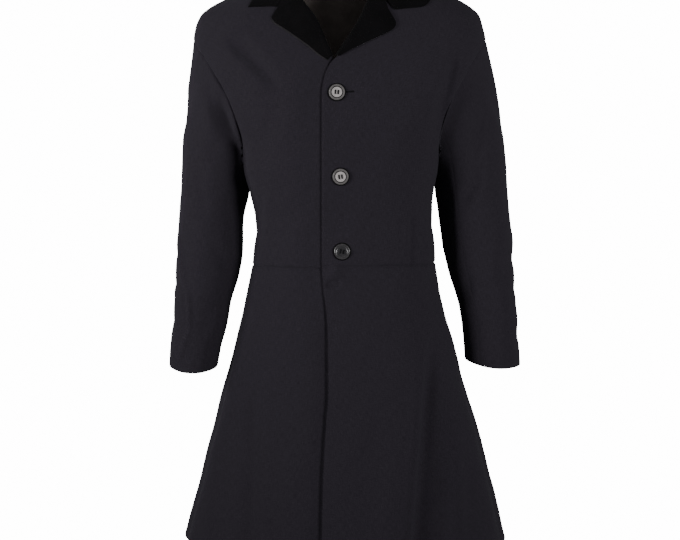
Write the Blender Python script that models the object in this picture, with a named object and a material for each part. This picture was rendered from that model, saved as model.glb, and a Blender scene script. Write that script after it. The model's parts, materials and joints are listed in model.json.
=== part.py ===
"""Frock coat in its worn, filled-out form: a wool body with a waist seam and a flared skirt, two-piece
sleeves, a velvet collar and lapels, and three four-hole buttons.

Blender units are metres and +Z is up. The front faces -Y and the wearer's left is +X. The origin is at the
base of the neck, level with the points where the shoulder seams meet the collar. The tables below are in
millimetres and degrees, and MM turns a length into metres when a mesh is made.

The body is one smooth surface. body_point(angle, height) reads it: angle 0 is the centre front, 90 the
wearer's left side, 180 the centre back and -90 the wearer's right side. Every panel is a patch of that
surface, given its thickness inwards and closed round its edges.
"""

import bisect
import math

import bmesh
import bpy
from mathutils import Matrix, Vector

MM = 0.001
ANGLE_STEP = 0.4
LENGTH_STEP = 0.5
SHARP_ANGLE = 45.0

# Cloth and seams
WOOL = 2.2
VELVET = 2.2
LINING = 1.0
SEAM = 0.3
LAP_DEPTH = 3.4
LAP_RAMP = 50.0
LAP_MARGIN = 4.0
LAP_FADE_TOP = -105.0
LAP_FADE_BOTTOM = -148.0

# The body's horizontal sections. Each is a rounded oval: half of its width, its depth to the front and to
# the back, how square it is (2 is an ellipse), and how far its middle lies towards the wearer's left.
BODY_SECTIONS = (
    # height, half_width, front, back, squareness, shift
    (12, 59, 27, 56, 2.10, -7.0),
    (0, 83.5, 38, 66, 2.10, -7.0),
    (-20, 131.5, 50, 84, 2.12, -5.0),
    (-38, 177.5, 60, 95, 2.13, -3.5),
    (-47, 200, 65, 99, 2.15, -2.8),
    (-61, 225.5, 73, 105, 2.15, -3.6),
    (-75, 241, 81, 109, 2.20, -5.5),
    (-96, 249, 91, 113, 2.22, -7.2),
    (-117, 252.5, 99, 116, 2.25, -6.8),
    (-154, 242, 110, 120, 2.30, -6.0),
    (-200, 221, 118, 122, 2.35, -5.5),
    (-252, 197, 122, 121, 2.35, -5.0),
    (-305, 173, 121, 116, 2.35, -4.6),
    (-341, 166, 119, 111, 2.33, -4.5),
    (-383, 159, 115, 106, 2.32, -2.6),
    (-425, 154.6, 110, 101, 2.30, 0.5),
    (-467, 156.6, 109, 99, 2.30, 1.8),
    (-505, 160, 111, 101, 2.30, 0.8),
    (-551, 168.5, 118, 111, 2.28, 0.0),
    (-600, 179, 128, 122, 2.25, 1.0),
    (-650, 192.5, 139, 134, 2.20, 1.8),
    (-720, 211.7, 154, 151, 2.15, 1.2),
    (-800, 234.5, 170, 169, 2.10, 2.5),
    (-890, 258, 188, 189, 2.08, 2.7),
    (-1000, 285.7, 209, 212, 2.05, 1.0),
)

# Heights that the panels share
WAIST = {"left": -502.0, "right": -506.0}
HEM = {"left": -992.0, "right": -985.0}
SHOULDER_ROWS = (0, -8, -18, -28, -38, -47, -56, -65, -75, -87, -101)
BODICE_ROWS = (-340, -362, -385, -408, -432, -456, -480)
SKIRT_SHARES = (0.09, 0.19, 0.29, 0.39, 0.49, 0.59, 0.69, 0.79, 0.9, 1.0)

# The skirt's soft folds. Each one runs from its angle at the waist to its angle at the hem, spreads either
# side by its spread, starts at its height, and stands out (or in, where negative) by its depth at the hem.
SKIRT_FOLDS = (
    # waist_angle, hem_angle, spread, start, depth
    (40, 13, 9, -560, 6),
    (50, 27, 8, -560, -9),
    (60, 42, 9, -600, 4),
    (-52, -38, 8, -620, -5),
    (-40, -26, 9, -620, 4),
    (-64, -54, 9, -640, 4),
    (122, 120, 11, -560, 7),
    (140, 140, 10, -540, -9),
    (158, 159, 10, -560, 7),
    (-120, -118, 11, -560, 6),
    (-138, -139, 10, -540, -9),
    (-157, -160, 10, -560, 8),
    (178, 179, 9, -560, -6),
)

# The armhole, an egg-shaped ring on the body: its middle's height, half of its height and of its depth, and
# how much fuller it is towards the bottom. The stations are numbered from the top, round by the front.
ARMHOLE_MIDDLE = -217.5
ARMHOLE_MIDDLE_ACROSS = 215.0
ARMHOLE_HALF_HEIGHT = 100.5
ARMHOLE_HALF_DEPTH = 61.0
ARMHOLE_FULLNESS = 0.15
ARMHOLE_STATIONS = 24
STATION_STEP = 0.02
ARMHOLE_FACE_DOWN = 0.85

# The side seam, from the bottom of the armhole to the hem
SIDE_SEAM = (
    # height, angle
    (-318, 90),
    (-420, 97),
    (-505, 99),
    (-1000, 100),
)

# The roll of each lapel and the front edge below it, as the place across the body at each height
LEFT_EDGE = (
    # height, across
    (12, 76),
    (0, 69),
    (-25, 57),
    (-52, 42),
    (-90, 25),
    (-129, 0.5),
    (-152, -15),
    (-163, -23),
    (-188, -33),
    (-213, -36.5),
    (-505, -36.5),
    (-540, -33.5),
    (-600, -27),
    (-650, -25.5),
    (-710, -25),
    (-765, -29),
    (-850, -33.5),
    (-1000, -37),
)
RIGHT_EDGE = (
    # height, across
    (12, -92),
    (0, -86),
    (-25, -80),
    (-52, -71),
    (-88, -45),
    (-131, -26.5),
    (-152, -16),
    (-165, -8),
    (-190, 8),
    (-215, 15),
    (-240, 17),
    (-1000, 17),
)

# The roll, where cloth turns back on itself: its inner radius, how far it stands past the panel's edge, and
# the height below which the edge is flat again
ROLL_RADIUS = 1.2
ROLL_GAP = 0.8
ROLL_REACH = ROLL_RADIUS + VELVET
ROLL_ENDS = -149.0
ROLL_FADES = -160.0
ROLL_STEPS = 4
STAND_MIDDLE = 0.55
LIE_CLEAR = 0.7

# The lapels, a row for each section across them: the height on the roll, and the place of the outer edge
LEFT_LAPEL = (
    # roll_height, outer_across, outer_height
    (-150.0, -8.5, -150.5),
    (-140, 12, -140),
    (-128, 34, -129),
    (-114, 57, -118.5),
    (-101, 78, -109),
    (-91, 86.5, -102),
    (-80, 89.2, -94),
    (-66, 82, -82),
    (-52, 75, -71),
    (-40, 72.5, -61),
    (-28, 71.8, -50),
)
RIGHT_LAPEL = (
    # roll_height, outer_across, outer_height
    (-150.0, -26.0, -156.5),
    (-140, -42, -146),
    (-128, -59, -132),
    (-114, -79, -117.5),
    (-101, -101, -102.5),
    (-91, -116, -92.5),
    (-80, -121.6, -85.3),
    (-66, -115.5, -75),
    (-52, -109.5, -64.5),
    (-40, -105, -57),
    (-28, -102, -50),
)
LAPEL_SHARES = (0.12, 0.3, 0.5, 0.7, 0.86, 1.0)
LAPEL_SETTLE = 0.7

# The collar, a row for each section across it, from its front end to the centre back. A section starts on
# the neck seam, at a height on the front's edge or an angle round the neck, rises by its stand, which leans
# from the panel's plane by its lean, rolls over and falls to an outer edge on the body.
COLLAR_ROWS = (
    # seam, seam_place, stand, lean, edge_angle, edge_height
    ("front edge", -14, 3, 12, 46, -50),
    ("front edge", -1, 9, 26, 56, -37),
    ("neck", 82, 15, 40, 73, -28),
    ("neck", 97, 22, 48, 90, -22.5),
    ("neck", 112, 26, 47, 107, -22),
    ("neck", 127, 28, 44, 122, -24),
    ("neck", 142, 29, 42, 137, -27),
    ("neck", 156, 30, 40, 152, -30),
    ("neck", 168, 30, 40, 166, -32),
    ("neck", 180, 30, 40, 180, -33),
)
COLLAR_FRONT_HEIGHT = -28.0
COLLAR_FRONT_STAND = 0.4
COLLAR_FRONT = {
    "left": ((71.8, -50), (85.3, -68.3), (135.6, -62.5)),
    "right": ((-102, -50), (-108.5, -62.2), (-162, -63.3)),
}
COLLAR_SHARES = (0.12, 0.3, 0.45, 0.65, 0.83, 1.0)
GORGE_GAP = 0.9

# The lining inside the back of the neck. It starts at this column of each back, is sewn in along the neck
# and hangs a little clear of the backs below it.
LINING_FIRST_COLUMN = 4
LINING_ROWS = (
    # height, clear
    (0, 0.35),
    (-8, 0.35),
    (-18, 0.35),
    (-28, 0.5),
    (-42, 1.2),
    (-60, 2.0),
    (-90, 2.0),
    (-125, 2.0),
    (-165, 2.0),
    (-205, 2.0),
    (-245, 2.0),
    (-290, 2.0),
)

# The sleeves, a row for each ring from the upper arm to the cuff. A ring is an oval between its outer and
# its inner end, each a distance from the coat's middle and a height, with its middle's depth (back is
# positive) and half of its size from front to back.
LEFT_SLEEVE = (
    # outer, outer_height, inner, inner_height, middle_depth, half_depth
    (284, -320, 162, -386, 22, 64),
    (291, -404, 167, -428, 20, 63),
    (296.5, -478, 176, -483, 16, 60),
    (300, -530, 188, -530, 9, 56),
    (302, -572, 200, -572, 2, 53),
    (304, -614, 208, -614, -6, 50),
    (307, -650, 210.5, -646, -13, 47),
    (309.5, -680, 211.5, -671, -18, 44),
)
RIGHT_SLEEVE = (
    # outer, outer_height, inner, inner_height, middle_depth, half_depth
    (283, -320, 166.5, -386, 22, 64),
    (287, -404, 175, -428, 20, 63),
    (292.5, -478, 176.5, -483, 16, 61),
    (295.5, -530, 184, -530, 9, 58),
    (297, -572, 196, -572, 2, 55),
    (299, -614, 204, -614, -6, 52),
    (302, -648, 213, -649, -13, 50),
    (304.5, -682, 220.5, -685, -18, 48),
)
CAP_ROWS = 4
CAP_SEAM_PULL = (0.25, 0.65)
CAP_LIFT = {"left": 0.25, "right": 0.11}
UNDER_SLEEVE_STATIONS = (8, 17)

# The buttons, on the left front: across the body and height, top to bottom
BUTTON_PLACES = ((-11.2, -210.6), (-5.0, -351.0), (-2.5, -477.2))
BUTTON_PROFILE = (
    # radius, height
    (11.4, 0.0),
    (13.4, 0.9),
    (14.0, 2.3),
    (13.3, 3.9),
    (11.8, 4.6),
    (10.4, 4.1),
    (9.2, 3.2),
)
BUTTON_SIDES = 32
BUTTON_SEAT = 0.6
HOLE_RADIUS = 1.1
HOLE_OFFSET = 2.4
HOLE_SIDES = 12
HOLE_CUTTER_LENGTH = 20.0

# Columns of cloth across each panel
FRONT_COLUMNS = 12
BACK_COLUMNS = 12
SKIRT_COLUMNS = 19

COLOURS = {
    "wool": ((0.019, 0.018, 0.023), 0.92),
    "velvet": ((0.003, 0.0028, 0.0034), 0.98),
    "lining": ((0.007, 0.006, 0.005), 0.6),
    "grey horn": ((0.11, 0.11, 0.12), 0.32),
    "dark horn": ((0.02, 0.02, 0.022), 0.3),
}


def smooth_table(rows):
    """A function that reads a table's columns at any value of its first, smoothly and without overshoot."""
    rows = sorted(rows)
    keys = [row[0] for row in rows]
    columns = list(zip(*rows))[1:]
    steps = [b - a for a, b in zip(keys, keys[1:])]
    slopes = []
    for column in columns:
        rises = [(b - a) / step for a, b, step in zip(column, column[1:], steps)]
        inner = [2 * a * b / (a + b) if a * b > 0 else 0.0 for a, b in zip(rises, rises[1:])]
        slopes.append([rises[0], *inner, rises[-1]])

    def read(key):
        key = min(max(key, keys[0]), keys[-1])
        i = min(bisect.bisect_right(keys, key) - 1, len(keys) - 2)
        t = (key - keys[i]) / steps[i]
        values = []
        for column, slope in zip(columns, slopes):
            start = (1 + 2 * t) * (1 - t) ** 2 * column[i]
            leave = t * (1 - t) ** 2 * steps[i] * slope[i]
            end = t * t * (3 - 2 * t) * column[i + 1]
            arrive = t * t * (t - 1) * steps[i] * slope[i + 1]
            values.append(start + leave + end + arrive)
        return values

    return read


section = smooth_table(BODY_SECTIONS)
side_seam = smooth_table(SIDE_SEAM)
edges = {"left": smooth_table(LEFT_EDGE), "right": smooth_table(RIGHT_EDGE)}
SIGN = {"left": 1, "right": -1}


def ease(share):
    """From 0 to 1 with a soft start and end."""
    share = min(max(share, 0.0), 1.0)
    return share * share * (3 - 2 * share)


def signed_power(value, power):
    return math.copysign(abs(value) ** power, value)


def fold_out(angle, height):
    """How far the skirt's folds move its surface out."""
    out = 0.0
    for waist_angle, hem_angle, spread, start, depth in SKIRT_FOLDS:
        grown = ease((start - height) / (start - HEM["left"]))
        if grown > 0:
            middle = waist_angle + (hem_angle - waist_angle) * (start - height) / (start - HEM["left"])
            away = (angle - middle + 180) % 360 - 180
            out += depth * grown * math.exp(-((away / spread) ** 2))
    return out


def body_point(angle, height):
    half_width, front, back, squareness, shift = section(height)
    turn = math.radians(angle)
    across, along = math.sin(turn), math.cos(turn)
    depth = front if along > 0 else back
    x = half_width * signed_power(across, 2 / squareness)
    y = -depth * signed_power(along, 2 / squareness)
    reach = math.hypot(x, y)
    grown = 1 + fold_out(angle, height) / reach
    return Vector((x * grown + shift, y * grown, height))


def body_normal(angle, height):
    """The direction straight out of the body."""
    round_step = body_point(angle + ANGLE_STEP, height) - body_point(angle - ANGLE_STEP, height)
    down_step = body_point(angle, height - LENGTH_STEP) - body_point(angle, height + LENGTH_STEP)
    return down_step.cross(round_step).normalized()


def front_angle(across, height):
    """The angle of the point on the front that lies at a place across the body."""
    half_width, _, _, squareness, shift = section(height)
    share = min(max((across - shift) / half_width, -1.0), 1.0)
    return math.degrees(math.asin(signed_power(share, squareness / 2)))


def outside_body(point):
    """How far a point is outside the plain body surface, and the direction straight out."""

    def level(x, y, z):
        half_width, front, back, squareness, shift = section(z)
        depth = front if y < 0 else back
        total = (abs(x - shift) / half_width) ** squareness + (abs(y) / depth) ** squareness
        return total ** (1 / squareness) - 1

    x, y, z = point
    step = LENGTH_STEP
    here = level(x, y, z)
    slope = Vector((
        level(x + step, y, z) - level(x - step, y, z),
        level(x, y + step, z) - level(x, y - step, z),
        level(x, y, z + step) - level(x, y, z - step),
    )) / (2 * step)
    steep = max(slope.length, 1e-9)
    return here / steep, slope / steep


def lifted(point, clear):
    """The point, moved out until it is at least this clear of the body."""
    for _ in range(5):
        distance, out = outside_body(point)
        if distance >= clear:
            break
        point = point + out * (clear - distance)
    return point


def lap_depth(side, across, height):
    """How far a right-hand panel is set in, so that the left one laps over it."""
    if side == "left":
        return 0.0
    full_at = edges["left"](height)[0] - LAP_MARGIN
    near = ease((across - full_at + LAP_RAMP) / LAP_RAMP)
    below = ease((LAP_FADE_TOP - height) / (LAP_FADE_TOP - LAP_FADE_BOTTOM))
    return LAP_DEPTH * near * below


def front_edge(side, height):
    """The place across the body of a front panel's own edge, just short of the roll."""
    on_roll = ease((height - ROLL_FADES) / (ROLL_ENDS - ROLL_FADES))
    return edges[side](height)[0] + SIGN[side] * ROLL_REACH * on_roll


def panel_point(side, angle, height):
    """A point of a front or a skirt's outer face and the direction out of it."""
    point = body_point(angle, height)
    out = body_normal(angle, height)
    return point - out * lap_depth(side, point.x, height), out


def armhole_station(side, k):
    """A point of the armhole, the directions out of the cloth and towards the sleeve, and the angle."""
    turn = 2 * math.pi * k / ARMHOLE_STATIONS

    def place(turn):
        height = ARMHOLE_MIDDLE + ARMHOLE_HALF_HEIGHT * math.cos(turn)
        depth = ARMHOLE_HALF_DEPTH * math.sin(turn) * (1 - ARMHOLE_FULLNESS * math.cos(turn))
        _, front, back, squareness, _ = section(height)
        along = (abs(depth) / (front if depth > 0 else back)) ** (squareness / 2)
        angle = math.degrees(math.acos(along))
        return (angle if depth >= 0 else 180 - angle), height

    angle, height = place(turn)
    point = body_point(SIGN[side] * angle, height)
    ahead_angle, ahead_height = place(turn + STATION_STEP)
    behind_angle, behind_height = place(turn - STATION_STEP)
    ahead = body_point(SIGN[side] * ahead_angle, ahead_height)
    behind = body_point(SIGN[side] * behind_angle, behind_height)
    low = ARMHOLE_FACE_DOWN * ((1 - math.cos(turn)) / 2) ** 2
    out = body_normal(SIGN[side] * angle, height) * (1 - low) + Vector((0, 0, -low))
    out.normalize()
    to_sleeve = (ahead - behind).normalized().cross(out).normalized()
    hole_middle = Vector((SIGN[side] * ARMHOLE_MIDDLE_ACROSS, 0.0, ARMHOLE_MIDDLE))
    if to_sleeve.dot(hole_middle - point) < 0:
        to_sleeve = -to_sleeve
    return point, out, to_sleeve, angle


ARMHOLES = {
    side: [armhole_station(side, k) for k in range(ARMHOLE_STATIONS)] for side in ("left", "right")
}
HALF_STATIONS = ARMHOLE_STATIONS // 2


def panel_rows(side):
    """The heights of the body's rows down to the waist: shoulder, armhole, then under the arm."""
    armhole = [ARMHOLES[side][k][0].z for k in range(HALF_STATIONS + 1)]
    return [*SHOULDER_ROWS, *armhole, *BODICE_ROWS, WAIST[side]]


def outer_edge(side, row, height, back):
    """The angle of a body panel's outer edge: the shoulder seam, then the armhole, then the side seam."""
    station = row - len(SHOULDER_ROWS)
    if station <= 0:
        return 90.0
    if station < HALF_STATIONS:
        return ARMHOLES[side][-station if back else station][3]
    return side_seam(height)[0]


def set_to_armhole(side, outer, inner, back, column):
    """Puts a body panel's edge points on its side of the armhole seam."""
    first = len(SHOULDER_ROWS)
    for station in range(HALF_STATIONS + 1):
        point, out, to_sleeve, _ = ARMHOLES[side][-station if back else station]
        row = first + station
        along_seam = Vector((0, 0, 0))
        if station in (0, HALF_STATIONS):
            along_seam = Vector((0, SEAM / 2 if back else -SEAM / 2, 0))
        outer[row][column] = point - to_sleeve * (SEAM / 2) + along_seam
        inner[row][column] = outer[row][column] - out * WOOL


def draw_in(outer, inner, edge):
    """Moves one edge of a patch inwards by half of a seam's gap. The edge is first/last row or column."""
    rows, columns = len(outer), len(outer[0])
    if edge in ("first column", "last column"):
        j, inward = (0, 1) if edge == "first column" else (columns - 1, columns - 2)
        line = [((i, j), (i, inward)) for i in range(rows)]
    else:
        i, inward = (0, 1) if edge == "first row" else (rows - 1, rows - 2)
        line = [((i, j), (inward, j)) for j in range(columns)]
    moves = []
    for k, ((i, j), (ii, jj)) in enumerate(line):
        before = line[max(k - 1, 0)][0]
        after = line[min(k + 1, len(line) - 1)][0]
        along = (outer[after[0]][after[1]] - outer[before[0]][before[1]]).normalized()
        into = outer[ii][jj] - outer[i][j]
        into -= along * into.dot(along)
        moves.append((i, j, into.normalized() * (SEAM / 2)))
    for i, j, move in moves:
        outer[i][j] = outer[i][j] + move
        inner[i][j] = inner[i][j] + move


def finish(name, points, faces, colour):
    """Makes an object of a closed surface, with its faces outwards."""
    mesh = bpy.data.meshes.new(name)
    mesh.from_pydata([tuple(p * MM) for p in points], [], faces)
    shell = bmesh.new()
    shell.from_mesh(mesh)
    bmesh.ops.recalc_face_normals(shell, faces=shell.faces)
    if shell.calc_volume(signed=True) < 0:
        bmesh.ops.reverse_faces(shell, faces=shell.faces)
    shell.to_mesh(mesh)
    shell.free()
    mesh.shade_smooth()
    mesh.set_sharp_from_angle(angle=math.radians(SHARP_ANGLE))
    mesh.materials.append(material(name, colour))
    made = bpy.data.objects.new(name, mesh)
    bpy.context.collection.objects.link(made)
    return made


def material(name, colour):
    shade, roughness = COLOURS[colour]
    made = bpy.data.materials.new(f"{name} {colour}")
    made.use_nodes = True
    surface = made.node_tree.nodes["Principled BSDF"]
    surface.inputs["Base Color"].default_value = (*shade, 1)
    surface.inputs["Roughness"].default_value = roughness
    surface.inputs["Metallic"].default_value = 0.0
    return made


def cloth(name, outer, inner, colour, lies_on_a_panel=False):
    """A closed wall between two grids of points, cut into the same triangles on both faces.

    Each four-cornered patch is cut along the diagonal that stands further out where the cloth lies on a
    panel, and along the other one elsewhere, so that flat triangles never make two layers meet.
    """
    rows, columns = len(outer), len(outer[0])
    points = [p for row in outer for p in row] + [p for row in inner for p in row]
    under = rows * columns
    faces = []
    for i in range(rows - 1):
        for j in range(columns - 1):
            a, b = i * columns + j, i * columns + j + 1
            c, d = b + columns, a + columns
            bulge = (points[a] + points[c] - points[b] - points[d]).dot(points[a] - points[under + a])
            if (bulge > 0) == lies_on_a_panel:
                triangles = ((a, b, c), (a, c, d))
            else:
                triangles = ((a, b, d), (b, c, d))
            for triangle in triangles:
                faces.append(triangle)
                faces.append(tuple(under + v for v in reversed(triangle)))
    rim = list(range(columns))
    rim += [i * columns + columns - 1 for i in range(1, rows)]
    rim += [(rows - 1) * columns + j for j in range(columns - 2, -1, -1)]
    rim += [i * columns for i in range(rows - 2, 0, -1)]
    for a, b in zip(rim, rim[1:] + rim[:1]):
        if (points[b] - points[under + a]).length < (points[a] - points[under + b]).length:
            faces.append((b, a, under + a))
            faces.append((b, under + a, under + b))
        else:
            faces.append((b, a, under + b))
            faces.append((a, under + a, under + b))
    return finish(name, points, faces, colour)


def spread(first, last, count):
    return [first + (last - first) * k / (count - 1) for k in range(count)]


def front_panel(side):
    """A front: from its edge to the shoulder seam, the armhole and the side seam, down to the waist."""
    rows = panel_rows(side)
    outer, inner = [], []
    for row, height in enumerate(rows):
        start = front_angle(front_edge(side, height), height)
        end = SIGN[side] * outer_edge(side, row, height, back=False)
        points = [panel_point(side, angle, height) for angle in spread(start, end, FRONT_COLUMNS)]
        outer.append([point for point, _ in points])
        inner.append([point - out * WOOL for point, out in points])
    draw_in(outer, inner, "last column")
    draw_in(outer, inner, "last row")
    set_to_armhole(side, outer, inner, back=False, column=FRONT_COLUMNS - 1)
    cloth(f"front_{side}", outer, inner, "wool")


def back_panel(side):
    """A back: from the centre back seam to the shoulder, armhole and side seams, from neck to hem."""
    skirt_rows = [WAIST[side] + (HEM[side] - WAIST[side]) * share for share in SKIRT_SHARES]
    rows = [*panel_rows(side), *skirt_rows]
    outer, inner = [], []
    for row, height in enumerate(rows):
        edge = SIGN[side] * outer_edge(side, row, height, back=True)
        angles = spread(edge, SIGN[side] * 180, BACK_COLUMNS)
        outer.append([body_point(angle, height) for angle in angles])
        inner.append([p - body_normal(a, height) * WOOL for p, a in zip(outer[-1], angles)])
    draw_in(outer, inner, "first column")
    draw_in(outer, inner, "last column")
    set_to_armhole(side, outer, inner, back=True, column=0)
    cloth(f"back_{side}", outer, inner, "wool")


def skirt_panel(side):
    """A skirt front: from its edge round to the side seam, from the waist seam to the hem."""
    rows = [WAIST[side] + (HEM[side] - WAIST[side]) * share for share in (0.0, *SKIRT_SHARES)]
    outer, inner = [], []
    for height in rows:
        start = front_angle(edges[side](height)[0], height)
        end = SIGN[side] * side_seam(height)[0]
        points = [panel_point(side, angle, height) for angle in spread(start, end, SKIRT_COLUMNS)]
        outer.append([point for point, _ in points])
        inner.append([point - out * WOOL for point, out in points])
    draw_in(outer, inner, "first row")
    draw_in(outer, inner, "last column")
    cloth(f"skirt_{side}", outer, inner, "wool")


def curve_through(start, leave, end, arrive, t):
    """A point on the smooth curve between two points with a given way out of one and into the other."""
    return (
        start * ((1 + 2 * t) * (1 - t) ** 2)
        + leave * (t * (1 - t) ** 2)
        + end * (t * t * (3 - 2 * t))
        + arrive * (t * t * (t - 1))
    )


def sleeve_ring(side, row):
    """The points of one of the sleeve's ovals, in the order of the armhole's stations."""
    outer, outer_height, inner, inner_height, depth, half_depth = row
    outer_end = Vector((SIGN[side] * outer, depth, outer_height))
    inner_end = Vector((SIGN[side] * inner, depth, inner_height))
    middle = (outer_end + inner_end) / 2
    half = (outer_end - inner_end) / 2
    ring = []
    for k in range(ARMHOLE_STATIONS):
        turn = 2 * math.pi * k / ARMHOLE_STATIONS
        ring.append(middle + half * math.cos(turn) + Vector((0, -half_depth * math.sin(turn), 0)))
    return ring


def sleeve_grid(side):
    """The sleeve's outer and inner points: the seam, the cap down to the upper arm, then ring by ring."""
    rings = [sleeve_ring(side, row) for row in (LEFT_SLEEVE if side == "left" else RIGHT_SLEEVE)]
    stations = ARMHOLES[side]
    seam = [point + to_sleeve * (SEAM / 2) for point, _, to_sleeve, _ in stations]
    cap = []
    for i in range(1, CAP_ROWS):
        row = []
        for k in range(ARMHOLE_STATIONS):
            _, out, to_sleeve, _ = stations[k]
            across = rings[0][k] - seam[k]
            top = ((1 + math.cos(2 * math.pi * k / ARMHOLE_STATIONS)) / 2) ** 3
            pull = CAP_SEAM_PULL[0] + CAP_SEAM_PULL[1] * top
            way = to_sleeve * pull + across.normalized() * (1 - pull) + out * (CAP_LIFT[side] * top)
            leave = way * across.length
            arrive = (rings[1][k] - rings[0][k]).normalized() * across.length
            row.append(curve_through(seam[k], leave, rings[0][k], arrive, i / CAP_ROWS))
        cap.append(row)
    outer = [seam, *cap, *rings]
    inner = []
    for i, row in enumerate(outer):
        above, below = outer[max(i - 1, 0)], outer[min(i + 1, len(outer) - 1)]
        middle = sum(row, Vector()) / len(row)
        inner_row = []
        for k, point in enumerate(row):
            round_step = row[(k + 1) % ARMHOLE_STATIONS] - row[k - 1]
            out = round_step.cross(below[k] - above[k]).normalized()
            if out.dot(point - middle) < 0:
                out = -out
            inner_row.append(point - (stations[k][1] if i == 0 else out) * WOOL)
        inner.append(inner_row)
    return outer, inner


def sleeve(side):
    """The top sleeve and the under sleeve, which meet in two seams along the arm."""
    outer, inner = sleeve_grid(side)
    first, last = UNDER_SLEEVE_STATIONS
    pieces = (
        ("under_sleeve", range(first, last + 1)),
        ("top_sleeve", range(last, first + ARMHOLE_STATIONS + 1)),
    )
    for kind, stations in pieces:
        piece_outer = [[row[k % ARMHOLE_STATIONS] for k in stations] for row in outer]
        piece_inner = [[row[k % ARMHOLE_STATIONS] for k in stations] for row in inner]
        draw_in(piece_outer, piece_inner, "first column")
        draw_in(piece_outer, piece_inner, "last column")
        cloth(f"{kind}_{side}", piece_outer, piece_inner, "wool")


def edge_frame(side, height):
    """On the front panel's edge: the outer point, the direction out, and the direction into the opening."""
    angle = front_angle(front_edge(side, height), height)
    point, out = panel_point(side, angle, height)
    above, _ = panel_point(side, front_angle(front_edge(side, height + 1), height + 1), height + 1)
    below, _ = panel_point(side, front_angle(front_edge(side, height - 1), height - 1), height - 1)
    into = (above - below).normalized().cross(out).normalized()
    if into.x * SIGN[side] > 0:
        into = -into
    return point, out, into


def rolled(start, rise, over, stand):
    """The middle of the cloth from a seam up a stand and over the roll, ending where the fall begins."""
    radius = ROLL_RADIUS + VELVET / 2
    line = [start, start + rise * stand * STAND_MIDDLE] if stand > 0 else [start]
    top = start + rise * stand + over * radius
    for k in range(ROLL_STEPS + 1):
        turn = math.pi * k / ROLL_STEPS
        line.append(top - over * (radius * math.cos(turn)) + rise * (radius * math.sin(turn)))
    return line


def thick_from_middle(grid, thickness, first_out):
    """The two faces of a cloth from its middle's points. first_out has each row's direction at its seam."""
    one, other = [], []
    for i, row in enumerate(grid):
        above, below = grid[max(i - 1, 0)], grid[min(i + 1, len(grid) - 1)]
        facing = first_out[i]
        one_row, other_row = [], []
        for j, point in enumerate(row):
            if j > 0:
                before = (point - row[j - 1]).normalized()
                after = (row[j + 1] - point).normalized() if j < len(row) - 1 else before
                out = (before + after).cross(below[j] - above[j]).normalized()
                facing = out if out.dot(facing) > 0 else -out
            one_row.append(point + facing * (thickness / 2))
            other_row.append(point - facing * (thickness / 2))
        one.append(one_row)
        other.append(other_row)
    return one, other


def lapel(side):
    """The turned-back part of a front: out of the opening, over the roll and flat on the front."""
    table = LEFT_LAPEL if side == "left" else RIGHT_LAPEL
    middle, first_out = [], []
    for roll_height, outer_across, outer_height in table:
        point, out, into = edge_frame(side, roll_height)
        start = point - out * (WOOL / 2) + into * ROLL_GAP
        line = rolled(start, into, out, stand=0.0)
        edge_across = front_edge(side, roll_height)
        lift_at_roll = 2 * ROLL_RADIUS + VELVET
        for share in LAPEL_SHARES:
            across = edge_across + (outer_across - edge_across) * share
            height = roll_height + (outer_height - roll_height) * share
            lying, away = panel_point(side, front_angle(across, height), height)
            lift = lift_at_roll + (LIE_CLEAR + VELVET / 2 - lift_at_roll) * share**LAPEL_SETTLE
            line.append(lying + away * lift)
        middle.append(line)
        first_out.append(-out)
    one, other = thick_from_middle(middle, VELVET, first_out)
    draw_in(one, other, "last row")
    cloth(f"lapel_{side}", one, other, "velvet", lies_on_a_panel=True)


def collar_section(side, seam, place, stand, lean, fall_to):
    """The middle of the collar's cloth across one section, and the direction out at its seam."""
    if seam == "front edge":
        point, out, into = edge_frame(side, place)
    else:
        angle = SIGN[side] * place
        point = body_point(angle, 0)
        out = body_normal(angle, 0)
        round_step = body_point(angle + 1, 0) - body_point(angle - 1, 0)
        into = round_step.cross(out).normalized()
        if into.z < 0:
            into = -into
    tilt = math.radians(lean)
    rise = into * math.cos(tilt) + out * math.sin(tilt)
    over = out * math.cos(tilt) - into * math.sin(tilt)
    start = point - out * (WOOL / 2) + into * (ROLL_GAP + math.sin(tilt) * VELVET)
    line = rolled(start, rise, over, stand)
    ends = fall_to(line[-1])
    line += [lifted(p, LIE_CLEAR + VELVET / 2) for p in ends]
    return line, -over


def between(one, other):
    """The section half way between two of the collar's sections, kept clear of the body where it falls."""
    line = [p.lerp(q, 0.5) for p, q in zip(one[0], other[0])]
    falls = len(line) - len(COLLAR_SHARES)
    line[falls:] = [lifted(p, LIE_CLEAR + VELVET / 2) for p in line[falls:]]
    return line, one[1].lerp(other[1], 0.5).normalized()


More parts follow.
